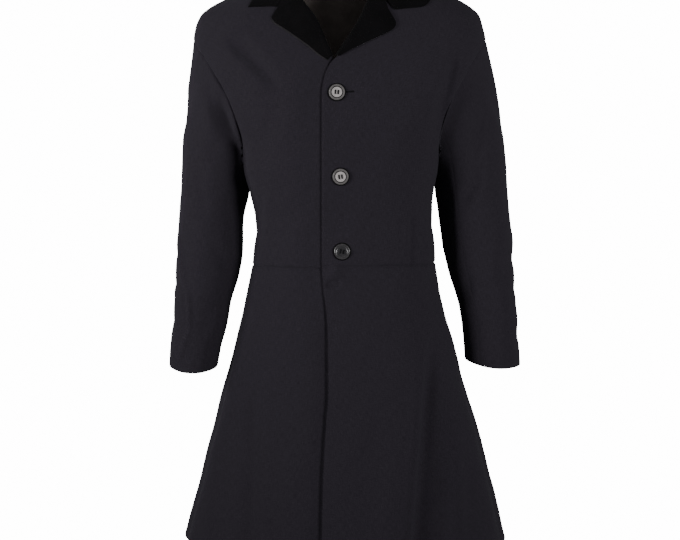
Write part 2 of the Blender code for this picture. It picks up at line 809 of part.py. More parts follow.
def collar():
    """The stand, the roll and the fall of the collar in one cloth, from one front end to the other."""
    halves = {}
    for side in ("left", "right"):
        sections = []

        def front_end(top, side=side):
            """Down the end of the collar: the seam to the lapel, the notch and the corner of the fall."""
            notch, corner, tip = COLLAR_FRONT[side]
            stops = [(0.0, None), (COLLAR_SHARES[1], notch), (COLLAR_SHARES[2], corner), (1.0, tip)]
            places = []
            for _, stop in stops[1:]:
                lying, away = panel_point(side, front_angle(*stop), stop[1])
                places.append(lying + away * (LIE_CLEAR + VELVET / 2))
            shares = [share for share, _ in stops]
            marks = [top, *places]
            line = []
            for share in COLLAR_SHARES:
                i = max(k for k in range(3) if share > shares[k] or k == 0)
                part = (share - shares[i]) / (shares[i + 1] - shares[i])
                line.append(marks[i].lerp(marks[i + 1], part))
            return line

        first = ("front edge", COLLAR_FRONT_HEIGHT, COLLAR_FRONT_STAND, 0)
        sections.append(collar_section(side, *first, front_end))
        for seam, place, stand, lean, edge_angle, edge_height in COLLAR_ROWS:

            def regular(top, angle=SIGN[side] * edge_angle, height=edge_height):
                edge = body_point(angle, height) + body_normal(angle, height) * (LIE_CLEAR + VELVET / 2)
                return [top.lerp(edge, share) for share in COLLAR_SHARES]

            sections.append(collar_section(side, seam, place, stand, lean, regular))
        sections.insert(1, between(sections[0], sections[1]))
        halves[side] = sections
    whole = halves["left"] + halves["right"][-2::-1]
    middle = [line for line, _ in whole]
    first_out = [out for _, out in whole]
    one, other = thick_from_middle(middle, VELVET, first_out)
    for row, inward in ((0, 1), (-1, -2)):
        for j in range(len(middle[0])):
            move = (one[inward][j] - one[row][j]).normalized() * GORGE_GAP
            one[row][j] = one[row][j] + move
            other[row][j] = other[row][j] + move
    cloth("collar", one, other, "velvet", lies_on_a_panel=True)


def back_lining():
    """The lining behind the neck opening, just inside the backs."""
    angles = spread(90, 270, 2 * BACK_COLUMNS - 1)[LINING_FIRST_COLUMN:-LINING_FIRST_COLUMN]
    outer, inner = [], []
    for height, clear in LINING_ROWS:
        outer_row, inner_row = [], []
        for angle in angles:
            out = body_normal(angle, height)
            point = body_point(angle, height) - out * (WOOL + clear)
            outer_row.append(point)
            inner_row.append(point - out * LINING)
        outer.append(outer_row)
        inner.append(inner_row)
    cloth("back_lining", outer, inner, "lining")


def button(number, across, height, colour):
    """A turned button with a raised rim and four holes, lying on the left front."""
    name = f"button_{number}"
    mesh = bpy.data.meshes.new(name)
    turned = bmesh.new()
    rings = []
    for radius, rise in BUTTON_PROFILE:
        ring = []
        for k in range(BUTTON_SIDES):
            turn = 2 * math.pi * k / BUTTON_SIDES
            ring.append(turned.verts.new(
                (radius * math.cos(turn) * MM, radius * math.sin(turn) * MM, rise * MM)
            ))
        rings.append(ring)
    for lower, upper in zip(rings, rings[1:]):
        for k in range(BUTTON_SIDES):
            after = (k + 1) % BUTTON_SIDES
            turned.faces.new((lower[k], lower[after], upper[after], upper[k]))
    turned.faces.new(rings[-1])
    turned.faces.new(list(reversed(rings[0])))
    bmesh.ops.recalc_face_normals(turned, faces=turned.faces)
    turned.to_mesh(mesh)
    turned.free()
    mesh.shade_smooth()
    mesh.set_sharp_from_angle(angle=math.radians(SHARP_ANGLE))
    mesh.materials.append(material(name, colour))
    made = bpy.data.objects.new(name, mesh)
    bpy.context.collection.objects.link(made)

    angle = front_angle(across, height)
    out = body_normal(angle, height)
    place = body_point(angle, height) + out * BUTTON_SEAT
    up = Vector((0, 0, 1))
    right = up.cross(out).normalized()
    up = out.cross(right).normalized()
    turned_to = Matrix((right, up, out)).transposed().to_4x4()
    made.matrix_world = Matrix.Translation(place * MM) @ turned_to
    for k in range(4):
        turn = math.pi / 4 + k * math.pi / 2
        cutter = hole_cutter(f"{name}_hole_{k + 1}")
        cutter.parent = made
        middle = (HOLE_OFFSET * math.cos(turn) * MM, HOLE_OFFSET * math.sin(turn) * MM, 0)
        cutter.location = middle
        cut = made.modifiers.new(f"hole {k + 1}", "BOOLEAN")
        cut.operation = "DIFFERENCE"
        cut.solver = "EXACT"
        cut.object = cutter


def hole_cutter(name):
    """A guide that cuts one hole through a button."""
    mesh = bpy.data.meshes.new(name)
    rod = bmesh.new()
    bmesh.ops.create_cone(
        rod,
        cap_ends=True,
        segments=HOLE_SIDES,
        radius1=HOLE_RADIUS * MM,
        radius2=HOLE_RADIUS * MM,
        depth=HOLE_CUTTER_LENGTH * MM,
    )
    rod.to_mesh(mesh)
    rod.free()
    made = bpy.data.objects.new(name, mesh)
    bpy.context.collection.objects.link(made)
    made.hide_render = True
    made.display_type = "WIRE"
    return made


def clear_scene():
    for old in list(bpy.data.objects):
        bpy.data.objects.remove(old, do_unlink=True)


def main():
    clear_scene()
    for side in ("right", "left"):
        front_panel(side)
        back_panel(side)
        skirt_panel(side)
        sleeve(side)
        lapel(side)
    collar()
    back_lining()
    for number, (across, height) in enumerate(BUTTON_PLACES, start=1):
        button(number, across, height, "dark horn" if number == len(BUTTON_PLACES) else "grey horn")


main()
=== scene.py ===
"""A frock coat of charcoal wool, filled out as it is worn: a velvet collar and lapels, two-piece sleeves, a
waist seam, a flared skirt, three buttons and a dark lining behind the neck.

Blender units are metres and +Z is up. The front faces -Y and the wearer's left is +X. The cloth is worked
out in millimetres and degrees, as it is cut, and MM turns a length into metres when a mesh is made.
"""

import json
import math

import bmesh
import bpy
import numpy as np
from mathutils import Matrix, Vector

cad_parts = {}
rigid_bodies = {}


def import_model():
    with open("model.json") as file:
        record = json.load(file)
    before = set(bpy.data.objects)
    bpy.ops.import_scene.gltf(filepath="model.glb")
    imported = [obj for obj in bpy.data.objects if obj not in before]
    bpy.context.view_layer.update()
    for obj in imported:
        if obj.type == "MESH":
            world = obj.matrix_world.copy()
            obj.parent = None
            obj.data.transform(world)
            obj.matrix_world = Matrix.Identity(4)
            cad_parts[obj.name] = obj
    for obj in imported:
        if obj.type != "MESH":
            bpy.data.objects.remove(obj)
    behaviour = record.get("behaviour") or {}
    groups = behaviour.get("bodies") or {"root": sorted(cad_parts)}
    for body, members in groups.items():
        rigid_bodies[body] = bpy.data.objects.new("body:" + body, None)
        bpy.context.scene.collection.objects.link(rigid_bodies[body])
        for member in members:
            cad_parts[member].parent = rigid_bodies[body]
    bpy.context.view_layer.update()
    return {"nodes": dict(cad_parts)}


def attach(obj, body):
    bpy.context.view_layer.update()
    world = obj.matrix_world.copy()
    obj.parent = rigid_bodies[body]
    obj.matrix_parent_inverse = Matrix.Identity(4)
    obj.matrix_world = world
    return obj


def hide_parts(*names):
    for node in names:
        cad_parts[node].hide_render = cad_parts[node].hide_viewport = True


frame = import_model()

MM = 0.001
SIGN = {"left": 1, "right": -1}

# How thick each cloth is
WOOL = 2.2
LINING = 1.0

# The seams: the gap between two pieces, how far their inner faces run on behind it, and how far and how
# widely the cloth rolls in beside it
SEAM = 0.04
SEAM_ALLOWANCE = 0.3
SEAM_DIP = 1.1
SEAM_DIP_WIDTH = 2.2
SLEEVE_SEAM_DIP = 0.25
WAIST_SEAM_DIP = 2.0

# The lap: how far the right-hand panels are set in under the left-hand ones, over how long a ramp, and how
# far before the left-hand edge the ramp ends
LAP_DEPTH = 3.1
LAP_RAMP = 50.0
LAP_MARGIN = 4.0

# The hollow along the left-hand panels' edge, its depth and its width each given for the bodice and for the
# skirt, and the wider, softer shade beside it in the skirt
LAP_HOLLOW = (0.3, 1.3)
LAP_HOLLOW_WIDTH = (2.0, 4.2)
LAP_HOLLOW_AWAY = 1.6
LAP_SHADE = 3.2
LAP_SHADE_WIDTH = 13.0
LAP_SHADE_AWAY = 5.0
LAP_SKIRT_BLEND = 180.0

# The heights between which the lap starts, above the first button
LAP_FADE_TOP = -105.0
LAP_FADE_BOTTOM = -148.0

# Near the armholes a crease moves the cloth straight back, so that it doesn't fold over itself: on the
# fronts from this far across and above this height, and on the sleeves within this reach of the armhole and
# turned slightly sideways. It does so fully on cloth that faces the front at least this squarely. A sleeve's
# creases have their full depth from this far off its armhole seam.
STRAIGHT_FROM = 105.0
STRAIGHT_OVER = 40.0
STRAIGHT_ABOVE = -360.0
TUCK_REACH = 60.0
TUCK_SIDEWAYS = 0.3
FACING_FRONT = 0.4
CREASES_FULL_FROM = 3.0

# The small steps, in degrees, millimetres and radians, that tell which way a surface faces
ANGLE_STEP = 0.4
HEIGHT_STEP = 0.5
TURN_STEP = 0.02
TINY = 1e-9

# The body's horizontal sections. Each is a rounded oval: half of its width, its depth to the front and to
# the back, how square it is (2 is an ellipse), and how far its middle lies towards the wearer's left.
BODY_SECTIONS = (
    # height, half_width, front, back, squareness, shift
    (12, 59, 27, 56, 2.10, -7.0),
    (0, 83.5, 38, 66, 2.10, -7.0),
    (-20, 131.5, 50, 84, 2.12, -5.0),
    (-38, 177.5, 60, 95, 2.13, -3.5),
    (-47, 200, 65, 99, 2.15, -2.8),
    (-61, 225.5, 73, 105, 2.15, -3.6),
    (-75, 241, 81, 109, 2.20, -5.5),
    (-96, 249, 91, 113, 2.22, -7.2),
    (-117, 252.5, 99, 116, 2.25, -6.8),
    (-154, 242, 110, 120, 2.30, -6.0),
    (-200, 221, 118, 122, 2.35, -5.5),
    (-252, 197, 122, 121, 2.35, -5.0),
    (-305, 173, 121, 116, 2.35, -4.6),
    (-341, 168.5, 119, 111, 2.33, -4.5),
    (-383, 159.5, 115, 106, 2.32, -2.6),
    (-425, 154.6, 110, 101, 2.30, 0.5),
    (-467, 156.6, 109, 99, 2.30, 1.8),
    (-505, 160, 111, 101, 2.30, 0.8),
    (-551, 168.5, 118, 111, 2.28, 0.0),
    (-600, 179, 128, 122, 2.25, 1.0),
    (-650, 192.5, 139, 134, 2.20, 1.8),
    (-720, 211.7, 154, 151, 2.15, 1.2),
    (-800, 234.5, 170, 169, 2.10, 2.5),
    (-890, 258, 188, 189, 2.08, 2.7),
    (-1000, 285.7, 209, 212, 2.05, 1.0),
)

# The heights of the waist seam and the hem, and of the hem at the centre back, where both sides meet
WAIST = {"left": -502.0, "right": -506.0}
HEM = {"left": -992.0, "right": -985.0}
BACK_HEM = -988.5

# The skirt's folds. Each one runs from its angle at the waist to its angle at the hem, spreads either side
# by its spread, starts at its height, and stands out (or in, where negative) by its depth at the hem.
SKIRT_FOLDS = (
    # waist_angle, hem_angle, spread, start, depth
    (40, 13, 9, -560, 6),
    (50, 27, 8, -560, -9),
    (60, 42, 9, -600, 4),
    (-52, -38, 8, -620, -5),
    (-40, -26, 9, -620, 4),
    (-64, -54, 9, -640, 4),
    (122, 120, 11, -560, 7),
    (140, 140, 10, -540, -9),
    (158, 159, 10, -560, 7),
    (-120, -118, 11, -560, 6),
    (-138, -139, 10, -540, -9),
    (-157, -160, 10, -560, 8),
    (178, 179, 9, -560, -6),
)

# The armhole, an egg-shaped ring on the body: its middle's height and place across, its half sizes, how much
# fuller it is below, how far its lowest part faces down, and into how many parts each half of it is divided
ARMHOLE_MIDDLE = -217.5
ARMHOLE_MIDDLE_ACROSS = 215.0
ARMHOLE_HALF_HEIGHT = 100.5
ARMHOLE_HALF_DEPTH = 61.0
ARMHOLE_FULLNESS = 0.15
ARMHOLE_FACE_DOWN = 0.85
ARMHOLE_HALF_STATIONS = 44

# The angle of the side seams, and the front edges of the left-hand and right-hand panels
SIDE_SEAM = (
    # height, angle
    (-318, 90),
    (-420, 97),
    (-505, 99),
    (-1000, 100),
)
LEFT_EDGE = (
    # height, across
    (12, 76),
    (0, 69),
    (-25, 57),
    (-52, 42),
    (-90, 25),
    (-129, 0.5),
    (-152, -15),
    (-163, -23),
    (-188, -33),
    (-213, -36.5),
    (-505, -36.5),
    (-540, -33.5),
    (-600, -27),
    (-650, -25.5),
    (-710, -25),
    (-765, -29),
    (-850, -33.5),
    (-1000, -37),
)
RIGHT_EDGE = (
    # height, across
    (12, -92),
    (0, -86),
    (-25, -80),
    (-52, -71),
    (-88, -45),
    (-131, -26.5),
    (-152, -16),
    (-165, -8),
    (-190, 8),
    (-215, 15),
    (-240, 17),
    (-1000, 17),
)

# Above these heights each front stops short of its edge, where the lapel rolls over it
ROLL_REACH = 3.4
ROLL_ENDS = -149.0
ROLL_FADES = -160.0

# The sleeves, a row for each ring: its outer and inner ends, as distances from the coat's middle and
# heights, its middle's depth and half of its size from front to back
LEFT_SLEEVE = (
    # outer, outer_height, inner, inner_height, middle_depth, half_depth
    (284, -320, 162, -386, 22, 64),
    (291, -404, 167, -428, 20, 63),
    (296.5, -478, 176, -483, 16, 60),
    (300, -530, 188, -530, 9, 56),
    (302, -572, 200, -572, 2, 53),
    (304, -614, 208, -614, -6, 50),
    (307, -650, 210.5, -646, -13, 47),
    (309.5, -680, 211.5, -671, -18, 44),
)
RIGHT_SLEEVE = (
    # outer, outer_height, inner, inner_height, middle_depth, half_depth
    (283, -320, 166.5, -386, 22, 64),
    (287, -404, 175, -428, 20, 63),
    (292.5, -478, 176.5, -483, 16, 61),
    (295.5, -530, 184, -530, 9, 58),
    (297, -572, 196, -572, 2, 55),
    (299, -614, 204, -614, -6, 52),
    (302, -648, 213, -649, -13, 50),
    (304.5, -682, 220.5, -685, -18, 48),
)

# How the sleeve's cap leaves the armhole seam: its pull at the sides and how much more of it at the top, its
# pull at the underarm, and its lift at the top
CAP_SEAM_PULL = (0.25, 0.65)
UNDERARM_PULL = -0.12
CAP_LIFT = {"left": 0.25, "right": 0.11}

# How far the cuff's edge drops at its front and back, and from which ring it starts to
CUFF_DROP = 7.0
CUFF_DROP_FROM = 5.4

# The part of the way round the sleeve that the under sleeve takes, in degrees from the outer side
UNDER_SLEEVE_TURNS = (120.0, 255.0)

# Creases on each piece. A crease lies on the front, the back or a side, from its start to its end, each a
# place across (or, on a side, along the depth) and a height. Bow bends it sideways, width is half of its
# spread, depth is how far it goes in (or out, where negative), lip is how much of a soft ridge stands up
# beside it (positive on its left looking along it), and fade says how its ends run out.
BODY_CREASES = (
    # side, start, end, bow, width, depth, lip, fade
    ("front", (-212, -108), (-98, -216), 7, 13, 7.0, -2.6, "both"),
    ("front", (-186, -112), (-134, -166), 4, 9, 2.0, 1.2, "both"),
    ("front", (-158, -200), (-96, -262), 5, 13, 1.6, -0.9, "both"),
    ("front", (199, -122), (155, -304), -6, 12, 12.0, 0.0, "both"),
    ("front", (176, -122), (120, -206), 7, 13, 2.0, 1.2, "both"),
    ("front", (150, -238), (96, -300), 6, 14, 1.3, 0.8, "both"),
    ("front", (-142, -350), (-146, -480), 3, 9, 1.8, 1.0, "both"),
    ("front", (-110, -470), (-60, -380), 5, 16, 1.0, 0.6, "both"),
    ("front", (118, -396), (115, -499), -1, 4.5, 3.0, -1.2, "start"),
    ("front", (132, -430), (134, -499), 2, 6, 1.2, 0.8, "start"),
    ("front", (-70, -486), (-20, -420), 4, 13, 0.9, 0.6, "both"),
    ("front", (70, -470), (20, -420), -4, 14, 0.8, 0.6, "both"),
    ("front", (-158, -660), (-162, -990), 2, 15, 5.5, 1.4, "start"),
    ("front", (-118, -760), (-112, -990), -2, 18, 2.0, -1.2, "start"),
    ("front", (-200, -760), (-214, -990), 3, 14, 2.0, -1.2, "start"),
    ("front", (154, -590), (122, -990), 1, 11, 10.0, -3.2, "start"),
    ("front", (178, -590), (150, -990), 0, 24, 6.0, 0.0, "grow"),
    ("front", (60, -700), (40, -990), -4, 22, 1.8, 1.2, "start"),
    ("front", (206, -800), (214, -990), 3, 12, 2.4, -1.2, "start"),
    ("back", (-168, -128), (-108, -196), 8, 16, 2.4, 1.4, "both"),
    ("back", (170, -124), (102, -200), -9, 15, 2.6, -1.4, "both"),
    ("back", (-132, -372), (-58, -452), 7, 15, 2.0, 1.2, "both"),
    ("back", (136, -380), (70, -462), -6, 14, 2.2, -1.2, "both"),
    ("back", (-96, -476), (-30, -440), 4, 12, 1.3, 0.8, "both"),
    ("back", (88, -478), (26, -446), -3, 12, 1.3, -0.8, "both"),
    ("back", (-60, -40), (-24, -64), 4, 10, 1.4, 0.8, "both"),
    ("back", (62, -42), (26, -70), -4, 10, 1.2, -0.8, "both"),
    ("back", (-118, -610), (-150, -985), 5, 17, 4.0, 2.0, "start"),
    ("back", (126, -590), (158, -985), -4, 17, 4.2, -2.0, "start"),
    ("back", (-34, -640), (-52, -985), 3, 15, 2.8, 1.4, "start"),
    ("back", (40, -660), (56, -985), -5, 16, 2.6, -1.4, "start"),
    ("left side", (-30, -420), (24, -480), 5, 14, 1.8, 1.0, "both"),
    ("right side", (-34, -416), (20, -470), -5, 14, 2.0, -1.0, "both"),
    ("left side", (-20, -640), (-44, -985), 6, 18, 3.8, 1.8, "start"),
    ("left side", (62, -620), (88, -985), -5, 17, 3.4, -1.6, "start"),
    ("right side", (-26, -630), (-40, -985), -6, 18, 3.4, -1.8, "start"),
    ("right side", (58, -640), (82, -985), 4, 17, 3.6, 1.6, "start"),
)
OVERLAP_CREASES = {
    # The left front's rolled edge, and a pinch at its corner below the waist
    "left": (
        # side, start, end, bow, width, depth, lip, fade
        ("front", (-16, -170), (-32.5, -240), -5, 2.6, -1.0, 0.0, "both"),
        ("front", (-32.5, -205), (-32.5, -499), 0, 2.4, -0.9, 0.0, "both"),
        ("front", (-12, -492), (-14, -526), 0, 10.0, -5.5, 0.0, "both"),
        ("front", (-32, -538), (-6, -526), 0, 4.5, 8.0, 0.0, "both"),
    ),
    "right": (("front", (-11, -150), (-22, -176), 0, 4.0, 7.0, 0.0, "both"),),
}
SLEEVE_CREASES = {
    "right": (
        # side, start, end, bow, width, depth, lip, fade
        ("front", (-248, -165), (-218, -300), 0, 20, -6.5, 0.0, "both"),
        ("front", (-216, -206), (-170, -336), -6, 10, 10.0, 0.0, "both"),
        ("front", (-200, -190), (-178, -300), 4, 9, -2.5, 0.0, "both"),
        ("front", (-188, -282), (-172, -380), -2, 13, 9.0, 0.0, "both"),
        ("front", (-236, -170), (-200, -300), -3, 7, 3.0, 0.0, "both"),
        ("front", (-187, -336), (-172, -430), 3, 12, 6.0, 0.0, "both"),
        ("front", (-262, -300), (-240, -446), 6, 14, 2.2, -1.4, "both"),
        ("front", (-290, -440), (-269, -566), -3, 4, -4.6, 0.0, "both"),
        ("front", (-272, -528), (-265, -630), 2, 4, -4.2, 0.0, "both"),
        ("front", (-265, -606), (-288, -676), 2, 5, -4.0, 0.0, "both"),
        ("front", (-282, -480), (-262, -570), -3, 9, 2.2, 0.0, "both"),
        ("front", (-232, -470), (-196, -524), 5, 11, 2.6, 1.4, "both"),
        ("front", (-214, -560), (-244, -640), -4, 12, 2.0, 1.2, "both"),
        ("back", (-206, -170), (-190, -300), 8, 12, 4.0, 1.8, "both"),
        ("back", (-262, -430), (-212, -500), 8, 12, 4.2, 2.0, "both"),
        ("back", (-272, -486), (-214, -540), 6, 11, 3.8, 2.0, "both"),
        ("back", (-282, -540), (-226, -572), 4, 10, 2.6, 1.4, "both"),
        ("right side", (-18, -190), (20, -290), 8, 13, 2.6, 1.4, "both"),
        ("right side", (52, -452), (-4, -512), -7, 11, 3.6, 1.6, "both"),
        ("right side", (40, -520), (-14, -560), -5, 10, 3.0, 1.5, "both"),
        ("right side", (20, -580), (-30, -636), -5, 10, 2.0, 1.2, "both"),
    ),
    "left": (
        # side, start, end, bow, width, depth, lip, fade
        ("front", (216, -160), (162, -318), -8, 17, 8.0, 0.0, "both"),
        ("front", (164, -262), (160, -372), 3, 16, 7.0, 0.0, "both"),
        ("front", (162, -330), (176, -430), 4, 12, 5.0, 0.0, "both"),
        ("front", (172, -372), (186, -520), -6, 14, 11.0, -1.6, "both"),
        ("front", (244, -240), (214, -332), 5, 10, 5.0, 2.0, "both"),
        ("front", (240, -322), (196, -412), 5, 10, 6.0, 2.4, "both"),
        ("front", (262, -420), (226, -492), 6, 13, 1.8, 1.2, "both"),
        ("front", (286, -470), (262, -560), 4, 12, 2.2, -1.4, "both"),
        ("front", (240, -520), (262, -624), 5, 13, 1.8, 1.2, "both"),
        ("front", (218, -500), (206, -590), 4, 10, 2.2, 1.4, "both"),
        ("back", (200, -172), (184, -302), -8, 12, 4.0, -1.8, "both"),
        ("back", (264, -424), (210, -496), -8, 12, 4.0, -2.0, "both"),
        ("back", (276, -480), (218, -532), -6, 11, 3.8, -1.8, "both"),
        ("back", (284, -536), (230, -566), -4, 10, 2.4, -1.4, "both"),
        ("left side", (-16, -180), (22, -284), -8, 13, 2.8, -1.4, "both"),
        ("left side", (50, -446), (-6, -506), 7, 11, 3.4, -1.6, "both"),
        ("left side", (38, -516), (-16, -556), 5, 10, 3.2, -1.5, "both"),
        ("left side", (18, -584), (-28, -640), 5, 10, 2.0, -1.2, "both"),
    ),
}

# Slight unevenness all over the cloth: each wave's length across, along the depth and in height, its
# height and where it starts
WAVES = (
    # across, depth, height, size, start
    (173, 240, 131, 0.42, 0.4),
    (-97, 150, 210, 0.34, 2.1),
    (64, -88, -143, 0.22, 4.0),
    (-51, 71, 61, 0.14, 1.3),
    (39, 45, -83, 0.10, 5.2),
    (28, -33, 37, 0.06, 3.1),
)

# The buttons, on the left front: across the body, height, how far each is turned, and its horn
BUTTONS = (
    # name, across, height, turned, horn
    ("button_1", -11.2, -210.6, -4.0, "grey_horn"),
    ("button_2", -5.0, -351.0, 9.0, "grey_horn"),
    ("button_3", -2.5, -477.2, -12.0, "dark_horn"),
)
BUTTON_SEAT = 0.6


def smooth_table(rows):
    """A function that reads a table's columns at any values of its first, smoothly, without overshoot."""
    rows = np.array(sorted(rows), float)
    keys, values = rows[:, 0], rows[:, 1:]
    steps = np.diff(keys)[:, None]
    rises = np.diff(values, axis=0) / steps
    product, total = rises[:-1] * rises[1:], rises[:-1] + rises[1:]
    inner = np.where(product > 0, 2 * product / np.where(total == 0, 1, total), 0)
    slopes = np.vstack([rises[:1], inner, rises[-1:]])

    def read(key):
        key = np.clip(np.asarray(key, float), keys[0], keys[-1])
        i = np.clip(np.searchsorted(keys, key, side="right") - 1, 0, len(keys) - 2)
        step = steps[i]
        t = (key - keys[i])[..., None] / step
        return (
            (1 + 2 * t) * (1 - t) ** 2 * values[i]
            + t * (1 - t) ** 2 * step * slopes[i]
            + t * t * (3 - 2 * t) * values[i + 1]
            + t * t * (t - 1) * step * slopes[i + 1]
        )

    return read


section = smooth_table(BODY_SECTIONS)
side_seam = smooth_table(SIDE_SEAM)
edges = {"left": smooth_table(LEFT_EDGE), "right": smooth_table(RIGHT_EDGE)}


def ease(share):
    """From 0 to 1 with a soft start and end."""
    share = np.clip(share, 0.0, 1.0)
    return share * share * (3 - 2 * share)


def between(ends, share):
    """The value at a share of the way from the first of two ends to the second."""
    return ends[0] + (ends[1] - ends[0]) * share


def unit(vectors):
    """Each vector at a length of one."""
    return vectors / np.maximum(np.linalg.norm(vectors, axis=-1, keepdims=True), TINY)


def signed_power(value, power):
    """A power of the value's size, with the value's own sign."""
    return np.sign(value) * np.abs(value) ** power


def body(angle, height):
    """Points of the body's surface."""
    angle, height = np.broadcast_arrays(np.asarray(angle, float), np.asarray(height, float))
    half_width, front, back, squareness, shift = np.moveaxis(section(height), -1, 0)
    turn = np.radians(angle)
    across, along = np.sin(turn), np.cos(turn)
    depth = np.where(along > 0, front, back)
    x = half_width * signed_power(across, 2 / squareness)
    y = -depth * signed_power(along, 2 / squareness)
    out = np.zeros_like(x)
    for waist_angle, hem_angle, spread, start, size in SKIRT_FOLDS:
        share = (start - height) / (start - HEM["left"])
        middle = waist_angle + (hem_angle - waist_angle) * share
        away = (angle - middle + 180) % 360 - 180
        out += size * ease(share) * np.exp(-((away / spread) ** 2))
    grown = 1 + out / np.hypot(x, y)
    return np.stack([x * grown + shift, y * grown, height], -1)


def body_out(angle, height):
    """Directions straight out of the body."""
    round_step = body(angle + ANGLE_STEP, height) - body(angle - ANGLE_STEP, height)
    down_step = body(angle, height - HEIGHT_STEP) - body(angle, height + HEIGHT_STEP)
    return unit(np.cross(down_step, round_step))


def front_angle(across, height):
    """The angle round the body of places on its front."""
    half_width, _, _, squareness, shift = np.moveaxis(section(height), -1, 0)
    share = np.clip((across - shift) / half_width, -1.0, 1.0)
    return np.degrees(np.arcsin(signed_power(share, squareness / 2)))


def lap_depth(side, across, height):
    """How far a right-hand panel is set in, so that the left one laps over it."""
    if side == "left":
        return np.zeros_like(across)
    left_edge = edges["left"](height)[..., 0]
    near = ease((across - left_edge + LAP_MARGIN + LAP_RAMP) / LAP_RAMP)
    below = ease((LAP_FADE_TOP - height) / (LAP_FADE_TOP - LAP_FADE_BOTTOM))
    in_skirt = ease((WAIST["left"] - height) / LAP_SKIRT_BLEND)
    away = across - front_edge("left", height) + LAP_HOLLOW_AWAY
    width = between(LAP_HOLLOW_WIDTH, in_skirt)
    hollow = between(LAP_HOLLOW, in_skirt) * np.exp(-((away / width) ** 2))
    shade = LAP_SHADE * in_skirt * np.exp(-(((away + LAP_SHADE_AWAY) / LAP_SHADE_WIDTH) ** 2))
    return (LAP_DEPTH * near + hollow + shade) * below


def front_edge(side, height):
    """How far across each front reaches."""
    on_roll = ease((height - ROLL_FADES) / (ROLL_ENDS - ROLL_FADES))
    return edges[side](height)[..., 0] + SIGN[side] * ROLL_REACH * on_roll


def panel(side, angle, height):
    """Points of a front or a skirt's outer face and the directions out of it."""
    angle, height = np.broadcast_arrays(np.asarray(angle, float), np.asarray(height, float))
    points, out = body(angle, height), body_out(angle, height)
    return points - out * lap_depth(side, points[..., 0], height)[..., None], out


def armhole_place(turn):
    """The angle and height of the armhole at turns from its top, round by the front."""
    height = ARMHOLE_MIDDLE + ARMHOLE_HALF_HEIGHT * np.cos(turn)
    depth = ARMHOLE_HALF_DEPTH * np.sin(turn) * (1 - ARMHOLE_FULLNESS * np.cos(turn))
    _, front, back, squareness, _ = np.moveaxis(section(height), -1, 0)
    along = (np.abs(depth) / np.where(depth > 0, front, back)) ** (squareness / 2)
    angle = np.degrees(np.arccos(np.clip(along, -1, 1)))
    return np.where(depth >= 0, angle, 180 - angle), height


def armhole(side, turn):
    """The armhole's points, and the directions out of the cloth and towards the sleeve."""
    angle, height = armhole_place(turn)
    points = body(SIGN[side] * angle, height)
    ahead_angle, ahead_height = armhole_place(turn + TURN_STEP)
    behind_angle, behind_height = armhole_place(turn - TURN_STEP)
    ahead = body(SIGN[side] * ahead_angle, ahead_height)
    behind = body(SIGN[side] * behind_angle, behind_height)
    low = (ARMHOLE_FACE_DOWN * ((1 - np.cos(turn)) / 2) ** 2)[..., None]
    out = unit(body_out(SIGN[side] * angle, height) * (1 - low) + np.array([0, 0, -1.0]) * low)
    to_sleeve = unit(np.cross(unit(ahead - behind), out))
    middle = np.array([SIGN[side] * ARMHOLE_MIDDLE_ACROSS, 0.0, ARMHOLE_MIDDLE])
    wrong_way = (to_sleeve * (middle - points)).sum(-1, keepdims=True) < 0
    return points, out, np.where(wrong_way, -to_sleeve, to_sleeve)


def faces_out(points, guide):
    """The directions out of a grid of points, on the same side as the guide directions."""
    down, across = np.gradient(points, axis=0), np.gradient(points, axis=1)
    out = unit(np.cross(down, across))
    return np.where((out * guide).sum(-1, keepdims=True) < 0, -out, out)


def waviness(points):
    """The slight unevenness at each point."""
    total = np.zeros(points.shape[:-1])
    for across, depth, height, size, start in WAVES:
        phase = points @ (2 * math.pi / np.array([across, depth, height], float))
        total += size * np.sin(phase + start)
    return total


CREASE_VIEWS = {
    # side: (which way the cloth faces there, the axes of its places)
    "front": ((0, -1, 0), (0, 2)),
    "back": ((0, 1, 0), (0, 2)),
    "left side": ((1, 0, 0), (1, 2)),
    "right side": ((-1, 0, 0), (1, 2)),
}

# How a crease is shaped: the points of its line, how squarely cloth has to face its side, over which share of
# its length it fades, how it grows, how narrow its ends are, and its lip's place and width beside its own
CREASE_STEPS = 20
CREASE_SEEN = (-0.05, 0.4)
CREASE_FADE = 0.35
CREASE_GROWTH = 1.3
CREASE_NARROW = (0.75, 1.0)
LIP_AWAY = 1.7
LIP_WIDTH = 1.1


def crease_line(start, end, bow):
    """The points of a crease's line, bent sideways by its bow."""
    start, end = np.array(start, float), np.array(end, float)
    along = end - start
    side_way = np.array([-along[1], along[0]]) / np.linalg.norm(along)
    shares = np.linspace(0, 1, CREASE_STEPS)
    return start + along * shares[:, None] + side_way * (4 * bow * shares * (1 - shares))[:, None]


def nearest_on_line(spots, line):
    """Each spot's distance from a line, its share of the way along it and how far it is on its left."""
    best = np.full(len(spots), 1e9)
    share = np.zeros(len(spots))
    offset = np.zeros(len(spots))
    for k in range(CREASE_STEPS - 1):
        leg = line[k + 1] - line[k]
        size = np.linalg.norm(leg)
        from_start = spots - line[k]
        part = np.clip(from_start @ leg / size**2, 0, 1)
        distance = np.linalg.norm(from_start - part[:, None] * leg, axis=-1)
        sideways = (leg[0] * from_start[:, 1] - leg[1] * from_start[:, 0]) / size
        closer = distance < best
        best = np.where(closer, distance, best)
        share = np.where(closer, (k + part) / (CREASE_STEPS - 1), share)
        offset = np.where(closer, sideways, offset)
    return best, share, offset


def crease_strength(share, fade):
    """How much of a crease's depth it has at each share of its length."""
    if fade == "grow":
        return share**CREASE_GROWTH
    strength = ease(share / CREASE_FADE)
    if fade == "both":
        strength = strength * ease((1 - share) / CREASE_FADE)
    return strength


